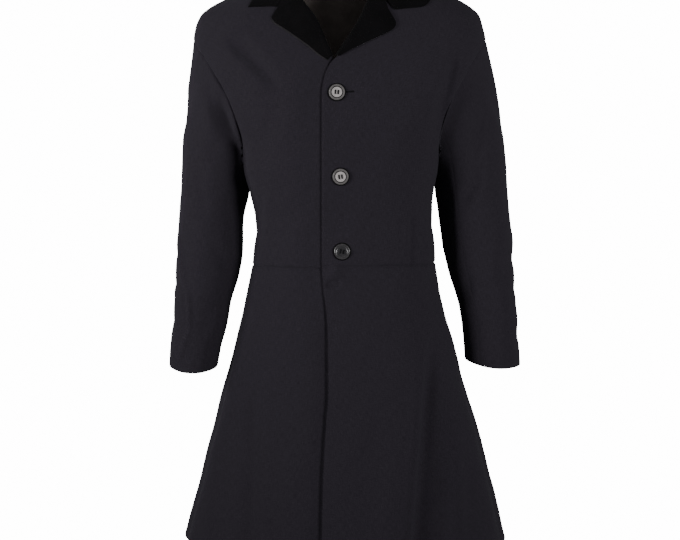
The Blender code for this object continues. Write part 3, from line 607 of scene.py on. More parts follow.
def crease_depth(points, out, creases):
    """How far the creases move each point along its direction out."""
    total = np.zeros(points.shape[:-1])
    for view, start, end, bow, width, depth, lip, fade in creases:
        facing, axes = CREASE_VIEWS[view]
        squarely = out @ np.array(facing, float)
        seen = ease((squarely - CREASE_SEEN[0]) / (CREASE_SEEN[1] - CREASE_SEEN[0]))
        place = points[..., axes]
        reach = 4 * width + abs(bow)
        low, high = np.minimum(start, end) - reach, np.maximum(start, end) + reach
        near = (seen > 0) & np.all((place > low) & (place < high), axis=-1)
        if not near.any():
            continue
        distance, share, offset = nearest_on_line(place[near], crease_line(start, end, bow))
        strength = crease_strength(share, fade)
        spread = width * between(CREASE_NARROW, strength)
        trough = -np.exp(-((distance / spread) ** 2))
        beside = np.where(lip > 0, offset, -offset) / spread
        ridge = np.exp(-(((beside - LIP_AWAY) / LIP_WIDTH) ** 2))
        past_end = np.exp(-(np.maximum(distance - np.abs(offset), 0) / spread) ** 2)
        total[near] += (depth * trough + abs(lip) * ridge * past_end) * strength * seen[near]
    return total


def rolled_in(distance):
    """How far cloth rolls in at distances from a seam, from 1 at the seam down to 0."""
    return np.exp(-((distance / SEAM_DIP_WIDTH) ** 2))


def near_seam(shares, lengths, first, last):
    """How much each column dips towards the seams at the first and last columns."""
    dip = np.zeros(np.broadcast(shares, lengths).shape)
    if first:
        dip += rolled_in(shares * lengths)
    if last:
        dip += rolled_in((1 - shares) * lengths)
    return dip


def row_dip(heights, edge):
    """How much each row dips towards the panel's edge at this height."""
    return rolled_in(heights - edge)[:, None]


# How far from a piece's ends its closest columns and rows lie, and how much more room the next ones leave
CLOSE_STEPS = (0.9, 2.0, 3.6, 6.2)
CLOSE_ROOM = 1.4


def close_to_ends(count, length):
    """Shares from 0 to 1, even in the middle and closer together next to both ends."""
    near = np.array(CLOSE_STEPS) / length
    middle = np.linspace(0, 1, count + 1)[1:-1]
    middle = middle[(middle > near[-1] * CLOSE_ROOM) & (middle < 1 - near[-1] * CLOSE_ROOM)]
    return np.concatenate([[0], near, middle, 1 - near[::-1], [1]])


# The grids of the lapping panels: columns, the length across that they are set out on, and how far either
# side of the left-hand panel's edge a right-hand one's columns lie close together
LAP_GRIDS = {
    # panel: (columns, length, reach)
    "front": (72, 210.0, 12.0),
    "skirt": (80, 300.0, 16.0),
}

# The shares of a right-hand panel's columns between which they lie close together, and the least room before
# them, in shares of their reach
CLOSE_FROM = 0.08
CLOSE_TO = 0.46
LAP_ROOM = 1.2


def lapping_shares(kind, side, heights, start, end):
    """Each row's shares, those of a right-hand panel set closer together along the left-hand one's edge."""
    columns, length, reach = LAP_GRIDS[kind]
    shares = close_to_ends(columns, length)
    shares = np.broadcast_to(shares, (len(heights), len(shares)))
    if side == "left":
        return shares
    left_edge = front_angle(edges["left"](heights)[..., 0], heights)
    spread = reach / length
    middle = np.maximum((left_edge - start) / (end - start), spread * LAP_ROOM)
    keys = (0.0, CLOSE_FROM, CLOSE_TO, 1.0)
    rows = [
        np.interp(row, keys, (0.0, middle[k] - spread, middle[k] + spread, 1.0))
        for k, row in enumerate(shares)
    ]
    return np.array(rows)


# Edges from this angle up stay sharp
SHARP_FROM = math.radians(60)


def new_mesh(name, points, faces, cloth_places):
    """A mesh object of millimetre points, shaded smooth, with its cloth places as a UV map in metres."""
    mesh = bpy.data.meshes.new(name)
    mesh.from_pydata((points * MM).tolist(), [], faces)
    layer = mesh.uv_layers.new(name="cloth")
    corner = np.zeros(len(mesh.loops), np.int32)
    mesh.loops.foreach_get("vertex_index", corner)
    layer.data.foreach_set("uv", (cloth_places[corner] * MM).ravel())
    made = bpy.data.objects.new(name, mesh)
    bpy.context.scene.collection.objects.link(made)
    shell = bmesh.new()
    shell.from_mesh(mesh)
    bmesh.ops.recalc_face_normals(shell, faces=shell.faces)
    if shell.calc_volume(signed=True) < 0:
        bmesh.ops.reverse_faces(shell, faces=shell.faces)
    shell.to_mesh(mesh)
    shell.free()
    mesh.shade_smooth()
    mesh.set_sharp_from_angle(angle=SHARP_FROM)
    return made


def wall(name, outer, inner):
    """A closed cloth wall between two grids of points."""
    rows, columns = outer.shape[:2]
    index = np.arange(rows * columns).reshape(rows, columns)
    under = rows * columns
    a, b = index[:-1, :-1].ravel(), index[:-1, 1:].ravel()
    c, d = index[1:, 1:].ravel(), index[1:, :-1].ravel()
    top = np.stack([a, b, c, d], -1)
    bottom = np.stack([d, c, b, a], -1) + under
    rim = np.concatenate([index[0, :], index[1:, -1], index[-1, -2::-1], index[-2:0:-1, 0]])
    after = np.roll(rim, -1)
    sides = np.stack([after, rim, rim + under, after + under], -1)
    across = np.linalg.norm(np.diff(outer, axis=1), axis=-1)
    down = np.linalg.norm(np.diff(outer, axis=0), axis=-1)
    u = np.concatenate([np.zeros((rows, 1)), np.cumsum(across, axis=1)], axis=1)
    v = np.concatenate([np.zeros((1, columns)), np.cumsum(down, axis=0)], axis=0)
    u = u - u.mean(axis=1, keepdims=True)
    v = np.repeat(v.mean(axis=1, keepdims=True), columns, axis=1)
    places = np.stack([u, -v], -1).reshape(-1, 2)
    points = np.concatenate([outer.reshape(-1, 3), inner.reshape(-1, 3)])
    faces = np.concatenate([top, bottom, sides]).tolist()
    return new_mesh(name, points, faces, np.concatenate([places, places]))


ALL = slice(None)
EDGES = {
    # edge: (the line of points along it, the line next to that)
    "first row": ((0, ALL), (1, ALL)),
    "last row": ((-1, ALL), (-2, ALL)),
    "first column": ((ALL, 0), (ALL, 1)),
    "last column": ((ALL, -1), (ALL, -2)),
}


def draw_in(outer, inner, edge):
    """Moves one edge of a panel in by half of a seam's gap, and runs its inner face on behind the seam."""
    line, inward = EDGES[edge]
    along = unit(np.gradient(outer[line], axis=0))
    into = outer[inward] - outer[line]
    into = unit(into - along * (along * into).sum(-1, keepdims=True)) * (SEAM / 2)
    outer[line] += into
    inner[line] -= into * (2 * SEAM_ALLOWANCE / SEAM)


def dressed(outer, out, dip, creases, keep=1.0, way=None):
    """A panel's outer and inner points, once it is creased, slightly uneven and rolled in at its seams.

    The creases move the cloth straight out or in, or along their own way where one is given.
    """
    creased = crease_depth(outer, out, creases) * keep
    at_seam = np.clip(dip, 0, 1)
    uneven = waviness(outer) * (1 - at_seam)
    shaped = outer + (out if way is None else way) * creased[..., None] + out * uneven[..., None]
    facing = unit(faces_out(shaped, out) * (1 - at_seam[..., None]) + out * at_seam[..., None])
    inner = shaped - facing * WOOL
    return shaped - facing * (SEAM_DIP * dip)[..., None], inner


# Where a body panel's rows lie: the heights above the armhole, the armhole's turns that the rows beside it
# end on, and the steps below it in the bodice and in the skirt
SHOULDER_HEIGHTS = (
    0, -1.5, -3.5, -7, -11, -15, -19, -23, -27, -31, -35, -39, -43, -47, -51.5, -56, -60.5, -65, -70, -75,
    -80, -85, -90, -95, -100, -105, -109.5, -113.5,
)
ARMHOLE_TURNS = np.linspace(0, math.pi, ARMHOLE_HALF_STATIONS + 1)
BODICE_STEP = 5.0
SKIRT_STEP = 5.5


def down_to(start, end, step):
    """Heights below start, down to end, the last of them closer together."""
    count = round((start - end) / step)
    heights = np.linspace(start, end, count + 1)[1:-1]
    close = np.array([CLOSE_STEPS[2], CLOSE_STEPS[1], CLOSE_STEPS[0], 0])
    heights = heights[heights > end + close[0] * CLOSE_ROOM]
    return np.concatenate([heights, end + close])


def bodice_heights(side):
    """The heights of a body panel's rows, from the shoulder to the waist."""
    armhole_heights = ARMHOLE_MIDDLE + ARMHOLE_HALF_HEIGHT * np.cos(ARMHOLE_TURNS)
    below = down_to(armhole_heights[-1], WAIST[side], BODICE_STEP)
    return np.concatenate([SHOULDER_HEIGHTS, armhole_heights, below])


def outer_edge(side, heights, back):
    """The angle of a body panel's outer edge: the shoulder seam, the armhole, then the side seam."""
    first = len(SHOULDER_HEIGHTS)
    last = first + len(ARMHOLE_TURNS)
    angles = side_seam(heights)[..., 0]
    angles[:first] = 90.0
    turns = -ARMHOLE_TURNS if back else ARMHOLE_TURNS
    angles[first:last] = armhole_place(turns)[0]
    angles[first] = 90.0
    return angles


def set_to_armhole(side, outer, inner, back, column):
    """Puts a body panel's edge points on its side of the armhole seam."""
    first = len(SHOULDER_HEIGHTS)
    last = first + len(ARMHOLE_TURNS)
    points, out, to_sleeve = armhole(side, -ARMHOLE_TURNS if back else ARMHOLE_TURNS)
    edge = points - to_sleeve * (SEAM / 2)
    half = SEAM / 2 if back else -SEAM / 2
    edge[0, 1] += half
    edge[-1, 1] += half
    outer[first:last, column] = edge - out * SEAM_DIP
    inner[first:last, column] = edge - out * WOOL + to_sleeve * SEAM_ALLOWANCE


def row_lengths(points):
    """How long each row of a panel is."""
    return np.linalg.norm(np.diff(points, axis=1), axis=-1).sum(axis=1, keepdims=True)


def straight_back(points, out):
    """The way creases move the front's cloth: straight back near the armholes, elsewhere straight out."""
    beside = ease((np.abs(points[..., 0]) - STRAIGHT_FROM) / STRAIGHT_OVER)
    above = ease((points[..., 2] - STRAIGHT_ABOVE) / STRAIGHT_OVER)
    share = (beside * above * ease(-out[..., 1] / FACING_FRONT))[..., None]
    return unit(out * (1 - share) + np.array([0, -1.0, 0]) * share)


# The dips at the waist seam and the sleeves' seams, in shares of the usual one
WAIST_DIP = WAIST_SEAM_DIP / SEAM_DIP
SLEEVE_DIP = SLEEVE_SEAM_DIP / SEAM_DIP


def front_piece(side):
    """A front, from the shoulder to the waist seam."""
    heights = bodice_heights(side)
    start = front_angle(front_edge(side, heights), heights)
    end = SIGN[side] * outer_edge(side, heights, back=False)
    shares = lapping_shares("front", side, heights, start, end)
    angles = start[:, None] + (end - start)[:, None] * shares
    points, out = panel(side, angles, heights[:, None])
    dip = near_seam(shares, row_lengths(points), False, True)
    dip = np.maximum(dip, row_dip(heights, WAIST[side]) * WAIST_DIP)
    creases = BODY_CREASES + OVERLAP_CREASES[side]
    outer, inner = dressed(points, out, dip, creases, way=straight_back(points, out))
    draw_in(outer, inner, "last column")
    draw_in(outer, inner, "last row")
    set_to_armhole(side, outer, inner, back=False, column=-1)
    return wall(f"wool_front_{side}", outer, inner)


# The backs' grid. They have no waist seam, so they leave out the bodice's last rows, which lie close
# together.
BACK_COLUMNS = 50
BACK_LENGTH = 230.0
CLOSE_ROWS = 4


def back_piece(side):
    """A back, from the shoulder to the hem in one."""
    bodice = bodice_heights(side)[:-CLOSE_ROWS]
    heights = np.concatenate([bodice, down_to(bodice[-1], HEM[side], SKIRT_STEP)])
    edge = SIGN[side] * outer_edge(side, heights, back=True)
    shares = close_to_ends(BACK_COLUMNS, BACK_LENGTH)
    angles = edge[:, None] + (SIGN[side] * 180 - edge)[:, None] * shares
    down = np.clip((WAIST[side] - heights) / (WAIST[side] - HEM[side]), 0, 1)
    level = heights[:, None] + (BACK_HEM - HEM[side]) * down[:, None] ** 3 * shares**2
    points, out = body(angles, level), body_out(angles, level)
    dip = near_seam(shares, row_lengths(points), True, True)
    dip = np.maximum(dip, row_dip(heights, HEM[side]))
    outer, inner = dressed(points, out, dip, BODY_CREASES)
    draw_in(outer, inner, "first column")
    draw_in(outer, inner, "last column")
    set_to_armhole(side, outer, inner, back=True, column=0)
    return wall(f"wool_back_{side}", outer, inner)


# How far below the waist seam the skirt's first rows lie
SKIRT_TOP_ROWS = (0, *CLOSE_STEPS, *range(9, 43, 3))


def skirt_piece(side):
    """A skirt front, from the waist seam to the hem."""
    top = WAIST[side] - np.array(SKIRT_TOP_ROWS)
    heights = np.concatenate([top, down_to(top[-1], HEM[side], SKIRT_STEP)])
    start = front_angle(edges[side](heights)[..., 0], heights)
    end = SIGN[side] * side_seam(heights)[..., 0]
    shares = lapping_shares("skirt", side, heights, start, end)
    angles = start[:, None] + (end - start)[:, None] * shares
    points, out = panel(side, angles, heights[:, None])
    dip = near_seam(shares, row_lengths(points), False, True)
    dip = np.maximum(dip, row_dip(heights, HEM[side]))
    dip = np.maximum(dip, row_dip(heights, WAIST[side]) * WAIST_DIP)
    outer, inner = dressed(points, out, dip, BODY_CREASES + OVERLAP_CREASES[side])
    draw_in(outer, inner, "first row")
    draw_in(outer, inner, "last column")
    return wall(f"wool_skirt_{side}", outer, inner)


def sleeve_rings(side, turns, places):
    """Points of the sleeve's rings, at places along its table from 0 for the first."""
    table = LEFT_SLEEVE if side == "left" else RIGHT_SLEEVE
    values = smooth_table([(k, *row) for k, row in enumerate(table)])(places)
    outer, outer_height, inner, inner_height, depth, half_depth = np.moveaxis(values, -1, 0)
    outer_end = np.stack([SIGN[side] * outer, depth, outer_height], -1)
    inner_end = np.stack([SIGN[side] * inner, depth, inner_height], -1)
    middle, half = (outer_end + inner_end) / 2, (outer_end - inner_end) / 2
    front = np.stack([0 * depth, -half_depth, 0 * depth], -1)
    across = half[:, None] * np.cos(turns)[:, None]
    along = front[:, None] * np.sin(turns)[:, None]
    return middle[:, None] + across + along


# Round which angles of the body the lining runs, on which rows, and how clear of the backs it lies
LINING_ANGLES = (122.73, 237.27)
LINING_COLUMNS = 56
LINING_HEIGHTS = np.concatenate([np.linspace(0, -60, 24), np.linspace(-65, -290, 46)])
LINING_CLEAR = (
    # height, clear of the back
    (0, 0.35),
    (-18, 0.35),
    (-28, 0.5),
    (-42, 1.2),
    (-60, 2.0),
    (-290, 2.0),
)


def lining_piece():
    """The satin behind the neck opening, just inside the backs."""
    heights = LINING_HEIGHTS[:, None]
    angles = np.linspace(*LINING_ANGLES, LINING_COLUMNS)
    clear = smooth_table(LINING_CLEAR)(heights)
    points, out = body(angles, heights), body_out(angles, heights)
    outer = points - out * (WOOL + clear)
    return wall("satin_back_lining", outer, outer - out * LINING)


# How the sleeve's rows are set out: shares of the cap, from the armhole down to the first ring, then rings
# down to the cuff, the last ones close together
CAP_SHARES = np.array([0, 0.008, 0.02, 0.036, 0.06, 0.09, *np.linspace(0.13, 0.96, 22)])
LAST_RING = 7.0
RINGS = np.array([*np.linspace(0, LAST_RING - 0.2, 62), *(LAST_RING - np.array([0.12, 0.067, 0.03, 0.0]))])


def sleeve_points(side, turns):
    """The sleeve's outer points: the armhole seam, the cap down to the upper arm, then ring by ring."""
    seam, out, to_sleeve = armhole(side, turns)
    start = seam + to_sleeve * (SEAM / 2)
    first, second = sleeve_rings(side, turns, np.array([0.0, 1.0]))
    across = first - start
    length = np.linalg.norm(across, axis=-1, keepdims=True)
    top = (((1 + np.cos(turns)) / 2) ** 3)[:, None]
    bottom = (((1 - np.cos(turns)) / 2) ** 3)[:, None]
    pull = CAP_SEAM_PULL[0] + CAP_SEAM_PULL[1] * top + (UNDERARM_PULL - CAP_SEAM_PULL[0]) * bottom
    leave = (to_sleeve * pull + across / length * (1 - pull) + out * (CAP_LIFT[side] * top)) * length
    arrive = unit(second - first) * length
    t = CAP_SHARES[:, None, None]
    cap = (
        start * ((1 + 2 * t) * (1 - t) ** 2)
        + leave * (t * (1 - t) ** 2)
        + first * (t * t * (3 - 2 * t))
        + arrive * (t * t * (t - 1))
    )
    rings = sleeve_rings(side, turns, RINGS)
    drop = CUFF_DROP * ease((RINGS - CUFF_DROP_FROM) / (LAST_RING - CUFF_DROP_FROM))
    rings[..., 2] -= drop[:, None] * np.sin(turns) ** 2
    return np.concatenate([cap, rings]), out, to_sleeve


def sleeve_out(side, turns, points, guide):
    """Straight out of the sleeve, the same on both sides of its seams."""
    across = sleeve_points(side, turns + TURN_STEP)[0] - sleeve_points(side, turns - TURN_STEP)[0]
    straight = unit(np.cross(across, np.gradient(points, axis=0)))
    return straight * np.where((straight * guide).sum(-1, keepdims=True) < 0, -1, 1)


# The sleeve pieces' columns, the length that each degree round the sleeve counts for in setting them out,
# and how far each piece's own middle is taken to lie beyond the sleeve's
SLEEVE_COLUMNS = {"top": 58, "under": 34}
SLEEVE_DEGREE = 1.15
SLEEVE_ASIDE = {"top": 30.0, "under": -30.0}


def tucked(side, out, from_armhole):
    """The way creases move a sleeve's cloth: nearly straight back by the armhole, elsewhere straight out."""
    near = np.exp(-((from_armhole / TUCK_REACH) ** 2))
    share = (near * ease(-out[..., 1] / FACING_FRONT))[..., None]
    tuck = unit(np.array([SIGN[side] * TUCK_SIDEWAYS, -1.0, 0.0]))
    return unit(out * (1 - share) + tuck * share)


def sleeve_piece(side, kind):
    """A top or under sleeve, from the armhole to the cuff."""
    first, last = UNDER_SLEEVE_TURNS
    if kind == "top":
        first, last = last, first + 360.0
    shares = close_to_ends(SLEEVE_COLUMNS[kind], SLEEVE_DEGREE * (last - first))
    turns = np.radians(first + (last - first) * shares)
    points, seam_out, to_sleeve = sleeve_points(side, turns)
    aside = np.array([SIGN[side] * SLEEVE_ASIDE[kind], 0, 0])
    out = sleeve_out(side, turns, points, points - points.mean(axis=1, keepdims=True) + aside)
    from_armhole = np.linalg.norm(points - points[:1], axis=-1)
    from_cuff = np.linalg.norm(points - points[-1:], axis=-1)
    dip = near_seam(shares, row_lengths(points), True, True) * SLEEVE_DIP
    dip = np.maximum(dip, np.maximum(rolled_in(from_armhole), rolled_in(from_cuff)))
    keep = ease(from_armhole / CREASES_FULL_FROM)
    way = tucked(side, out, from_armhole)
    outer, inner = dressed(points, out, dip, SLEEVE_CREASES[side], keep, way)
    outer[0] = points[0] - seam_out * SEAM_DIP
    inner[0] = points[0] - seam_out * WOOL - to_sleeve * SEAM_ALLOWANCE
    draw_in(outer, inner, "first column")
    draw_in(outer, inner, "last column")
    return wall(f"wool_{kind}_sleeve_{side}", outer, inner)


def deselect_all():
    """Leaves nothing selected."""
    for piece in bpy.context.view_layer.objects:
        piece.select_set(False)


def activate(piece):
    """Leaves only this piece selected, and active."""
    deselect_all()
    piece.select_set(True)
    bpy.context.view_layer.objects.active = piece


def apply_modifier(piece, kind, **settings):
    """Adds a modifier to a piece and applies it at once."""
    modifier = piece.modifiers.new(kind.lower(), kind)
    for key, value in settings.items():
        setattr(modifier, key, value)
    activate(piece)
    bpy.ops.object.modifier_apply(modifier=modifier.name)


# Velvet's pile rounds all but the sharp edges, which keep this much of their crease. The collar's front
# leaves, which lie before and below these places, in metres, are lowered a little over the lapels.
VELVET_LEVEL = 2
VELVET_CREASE = 0.85
WELD = 1e-5
FLAT_WITHIN = math.radians(50)
LEAF_BEFORE = -0.02
LEAF_BELOW = -0.045
LEAF_DROP = Vector((0, -2.3, -4.0)) * MM


def copy_of(node, name):
    """A copy of a node, with its own mesh and none of its properties."""
    made = frame["nodes"][node].copy()
    made.data = frame["nodes"][node].data.copy()
    made.name = name
    made.parent = None
    for key in list(made.keys()):
        del made[key]
    bpy.context.scene.collection.objects.link(made)
    return made


def velvet_piece(name, node):
    """A rounded copy of a collar or lapel, as soft as thick pile."""
    made = copy_of(node, name)
    shell = bmesh.new()
    shell.from_mesh(made.data)
    bmesh.ops.remove_doubles(shell, verts=shell.verts, dist=WELD)
    bmesh.ops.join_triangles(
        shell,
        faces=shell.faces,
        angle_face_threshold=FLAT_WITHIN,
        angle_shape_threshold=SHARP_FROM,
    )
    if node == "collar":
        for vert in shell.verts:
            if vert.co.y < LEAF_BEFORE and vert.co.z < LEAF_BELOW:
                vert.co += LEAF_DROP
    creases = shell.edges.layers.float
    crease = creases.get("crease_edge") or creases.new("crease_edge")
    for edge in shell.edges:
        if len(edge.link_faces) == 2 and edge.calc_face_angle() > SHARP_FROM:
            edge[crease] = VELVET_CREASE
    bmesh.ops.recalc_face_normals(shell, faces=shell.faces)
    shell.to_mesh(made.data)
    shell.free()
    made.data.shade_smooth()
    apply_modifier(made, "SUBSURF", levels=VELVET_LEVEL, render_levels=VELVET_LEVEL)
    return made


# The narrow edge of wool that shows below the wearer's right lapel: its line on the front, its half width and
# half thickness, how far it stands out, how it tapers to its ends, and the weave's steps along and round it
LAPEL_EDGE = (
    # across, height
    (-24.5, -157.5),
    (-42, -147.5),
    (-59, -133.5),
    (-79, -119),
    (-101, -104),
    (-116, -94),
    (-121, -87.5),
)
LAPEL_EDGE_RINGS = 90
LAPEL_EDGE_SIDES = 12
LAPEL_EDGE_HALF_WIDTH = 1.25
LAPEL_EDGE_HALF_THICK = 0.85
LAPEL_EDGE_OUT = 1.15
LAPEL_EDGE_TAPER = 6.0
LAPEL_EDGE_SIZES = (0.35, 1.0)
LAPEL_EDGE_WEAVE = (1.2, 0.6)


def lapel_edge_piece():
    """The wool edge as a thin tube along its line, closed and narrower at both ends."""
    read = smooth_table([(k, *place) for k, place in enumerate(LAPEL_EDGE)])
    across, height = read(np.linspace(0, len(LAPEL_EDGE) - 1, LAPEL_EDGE_RINGS)).T
    points, out = panel("right", front_angle(across, height), height)
    sideways = unit(np.cross(unit(np.gradient(points, axis=0)), out))
    turns = np.linspace(0, 2 * math.pi, LAPEL_EDGE_SIDES + 1)[:-1]
    wide = sideways[:, None] * (LAPEL_EDGE_HALF_WIDTH * np.cos(turns))[:, None]
    thick = out[:, None] * (LAPEL_EDGE_HALF_THICK * np.sin(turns))[:, None]
    ring = np.arange(LAPEL_EDGE_RINGS)
    size = between(LAPEL_EDGE_SIZES, ease(np.minimum(ring, ring[::-1]) / LAPEL_EDGE_TAPER))
    tube = (points + out * LAPEL_EDGE_OUT)[:, None] + (wide + thick) * size[:, None, None]
    index = np.arange(LAPEL_EDGE_RINGS * LAPEL_EDGE_SIDES).reshape(LAPEL_EDGE_RINGS, LAPEL_EDGE_SIDES)
    turned = np.roll(index, -1, axis=1)
    sides = np.stack([index[:-1], turned[:-1], turned[1:], index[1:]], -1).reshape(-1, 4).tolist()
    ends = [index[0, ::-1].tolist(), index[-1].tolist()]
    u = np.repeat(ring * LAPEL_EDGE_WEAVE[0], LAPEL_EDGE_SIDES)
    v = np.tile(np.arange(LAPEL_EDGE_SIDES) * LAPEL_EDGE_WEAVE[1], LAPEL_EDGE_RINGS)
    return new_mesh("wool_lapel_edge_right", tube.reshape(-1, 3), sides + ends, np.stack([u, v], -1))


# A button's outer size, which takes in a flat foot round the horn that carries a painted shadow, and the
# steps of its profile from there to its middle
BUTTON_SIDES = 64
BUTTON_RADIUS = 15.2
BUTTON_THICK = 1.0
BUTTON_STEPS = (
    # inset, rise
    (1.5, 0.0),
    (0.35, 1.5),
    (1.0, 0.7),
    (1.95, 0.1),
    (0.6, -0.8),
    (0.6, 0.0),
    (0.7, 0.5),
    (1.9, -0.1),
    (2.1, -0.2),
)
BUTTON_BEVEL = {"width": 0.3 * MM, "segments": 3, "limit_method": "ANGLE", "angle_limit": 0.5}
BUTTON_SHARP_FROM = math.radians(40)

# How far from a button's middle its dark foot starts, a painted shadow of the button on the cloth and of its
# unlit side, and how far its middle and its groove reach; the groove's dark is painted shade
BUTTON_SHADOW_FROM = 13.4
BUTTON_ZONES = {
    # horn: (middle, groove)
    "grey_horn": (8.8, 10.2),
    "dark_horn": (8.4, 8.4),
}

# The order of a button's materials: its rim, its middle, and the painted shade on its foot and in its groove
RIM, MIDDLE, PAINTED_SHADE = 0, 1, 2

# The four holes, how far each is from the middle both ways, and the tool that drills them
HOLE_AWAY = 2.3
HOLE_RADIUS = 1.2
HOLE_SIDES = 20
DRILL_LENGTH = 12
DRILL_HEIGHT = 2

# The two bars of thread on a button's face
THREAD_AWAY = 2.4
THREAD_HEIGHT = 2.6
THREAD_RADIUS = 1.35
THREAD_LENGTH = 7.2
THREAD_SIDES = 12
THREAD_BEVEL = {"width": 0.2 * MM, "segments": 2, "limit_method": "ANGLE"}

# The first buttonhole's worked end: where it starts, its size, and how it is turned and seated
BUTTONHOLE_PLACE = (3.0, -210.2)
BUTTONHOLE_SIZE = (14.5, 3.0, 1.0)
BUTTONHOLE_TURNED = 4.0
BUTTONHOLE_SEAT = 0.15
BUTTONHOLE_BEVEL = {"width": 0.4 * MM, "segments": 3, "limit_method": "ANGLE"}


AT_HEIGHT = 1e-6
FACING_UP = 0.9


def select_flat_face(shell, height):
    """Leaves only the face that looks up at this height selected."""
    shell.select_mode = {"FACE"}
    for face in shell.faces:
        face.select_set(False)
    for face in shell.faces:
        if abs(face.calc_center_median().z - height) < AT_HEIGHT and face.normal.z > FACING_UP:
            face.select_set(True)


def button_blank():
    """A round of horn: a foot, which gets a painted shadow, a raised rim, a groove inside it, which gets
    painted shade, and a slightly dished middle.
    """
    bpy.ops.mesh.primitive_cylinder_add(
        vertices=BUTTON_SIDES,
        radius=BUTTON_RADIUS * MM,
        depth=BUTTON_THICK * MM,
        location=(0, 0, BUTTON_THICK / 2 * MM),
    )
    blank = bpy.context.active_object
    bpy.ops.object.transform_apply(location=True, rotation=True, scale=True)
    bpy.ops.object.mode_set(mode="EDIT")
    select_flat_face(bmesh.from_edit_mesh(blank.data), BUTTON_THICK * MM)
    bmesh.update_edit_mesh(blank.data)
    for width, rise in BUTTON_STEPS:
        bpy.ops.mesh.inset(thickness=width * MM, depth=rise * MM)
    bpy.ops.object.mode_set(mode="OBJECT")
    apply_modifier(blank, "BEVEL", **BUTTON_BEVEL)
    return blank


def horn_of_face(face, middle, groove):
    """Which horn a face of a flat-lying button shows: its rim, its middle, or the painted shade on its foot
    and in its groove.
    """
    reach = math.hypot(face.center.x, face.center.y) / MM
    # The foot and the groove are coloured dark as painted shade
    if reach > BUTTON_SHADOW_FROM or middle < reach < groove:
        return PAINTED_SHADE
    return MIDDLE if reach < middle else RIM


def drill_hole(blank, x, y):
    """Drills one hole through a button."""
    bpy.ops.mesh.primitive_cylinder_add(
        vertices=HOLE_SIDES,
        radius=HOLE_RADIUS * MM,
        depth=DRILL_LENGTH * MM,
        location=(x * MM, y * MM, DRILL_HEIGHT * MM),
    )
    drill = bpy.context.active_object
    apply_modifier(blank, "BOOLEAN", operation="DIFFERENCE", object=drill, solver="EXACT")
    bpy.data.objects.remove(drill)


def button_piece(name, across, height, turned, horns, zones):
    """A four-hole button, sewn on the left front."""
    blank = button_blank()
    blank.name = name
    blank.data.materials.clear()
    for horn in horns:
        blank.data.materials.append(horn)
    for face in blank.data.polygons:
        face.material_index = horn_of_face(face, *zones)
    for x, y in ((1, 1), (1, -1), (-1, -1), (-1, 1)):
        drill_hole(blank, x * HOLE_AWAY, y * HOLE_AWAY)
    blank.data.shade_smooth()
    blank.data.set_sharp_from_angle(angle=BUTTON_SHARP_FROM)
    place_on_front(blank, across, height, turned, BUTTON_SEAT)
    return blank


def place_on_front(piece, across, height, turned, clear):
    """Turns a piece made flat at the origin onto the left front, its top facing out."""
    angle = front_angle(np.array([across]), np.array([height]))
    points, out = panel("left", angle, np.array([height]))
    facing = Vector(out[0])
    up = Vector((0, 0, 1))
    sideways = up.cross(facing).normalized()
    up = facing.cross(sideways)
    turn = Matrix((sideways, up, facing)).transposed().to_4x4()
    spot = Vector(points[0] + out[0] * clear) * MM
    piece.data.transform(Matrix.Translation(spot) @ turn @ Matrix.Rotation(math.radians(turned), 4, "Z"))
    piece.matrix_world = Matrix.Identity(4)


def thread_piece(name, across, height, turned):
    """The thread through a button's holes: two short bars on its face."""
    bars = []
    for x in (-THREAD_AWAY, THREAD_AWAY):
        bpy.ops.mesh.primitive_cylinder_add(
            vertices=THREAD_SIDES,
            radius=THREAD_RADIUS * MM,
            depth=THREAD_LENGTH * MM,
            location=(x * MM, 0, THREAD_HEIGHT * MM),
            rotation=(math.pi / 2, 0, 0),
        )
        bars.append(bpy.context.active_object)
        bpy.ops.object.transform_apply(location=True, rotation=True, scale=True)
    activate(bars[0])
    bars[1].select_set(True)
    bpy.ops.object.join()
    bars[0].name = name
    apply_modifier(bars[0], "BEVEL", **THREAD_BEVEL)
    bars[0].data.shade_smooth()
    place_on_front(bars[0], across, height, turned, BUTTON_SEAT)
    return bars[0]


def buttonhole_piece():
    """The worked end of the first buttonhole: a narrow raised bar of close stitches."""
    bpy.ops.mesh.primitive_cube_add(size=1, location=(BUTTONHOLE_SIZE[0] * MM / 2, 0, 0))
    bar = bpy.context.active_object
    bar.scale = [size * MM for size in BUTTONHOLE_SIZE]
    bpy.ops.object.transform_apply(location=True, rotation=True, scale=True)
    apply_modifier(bar, "BEVEL", **BUTTONHOLE_BEVEL)
    bar.name = "buttonhole_1"
    bar.data.shade_smooth()
    place_on_front(bar, *BUTTONHOLE_PLACE, BUTTONHOLE_TURNED, BUTTONHOLE_SEAT)
    return bar


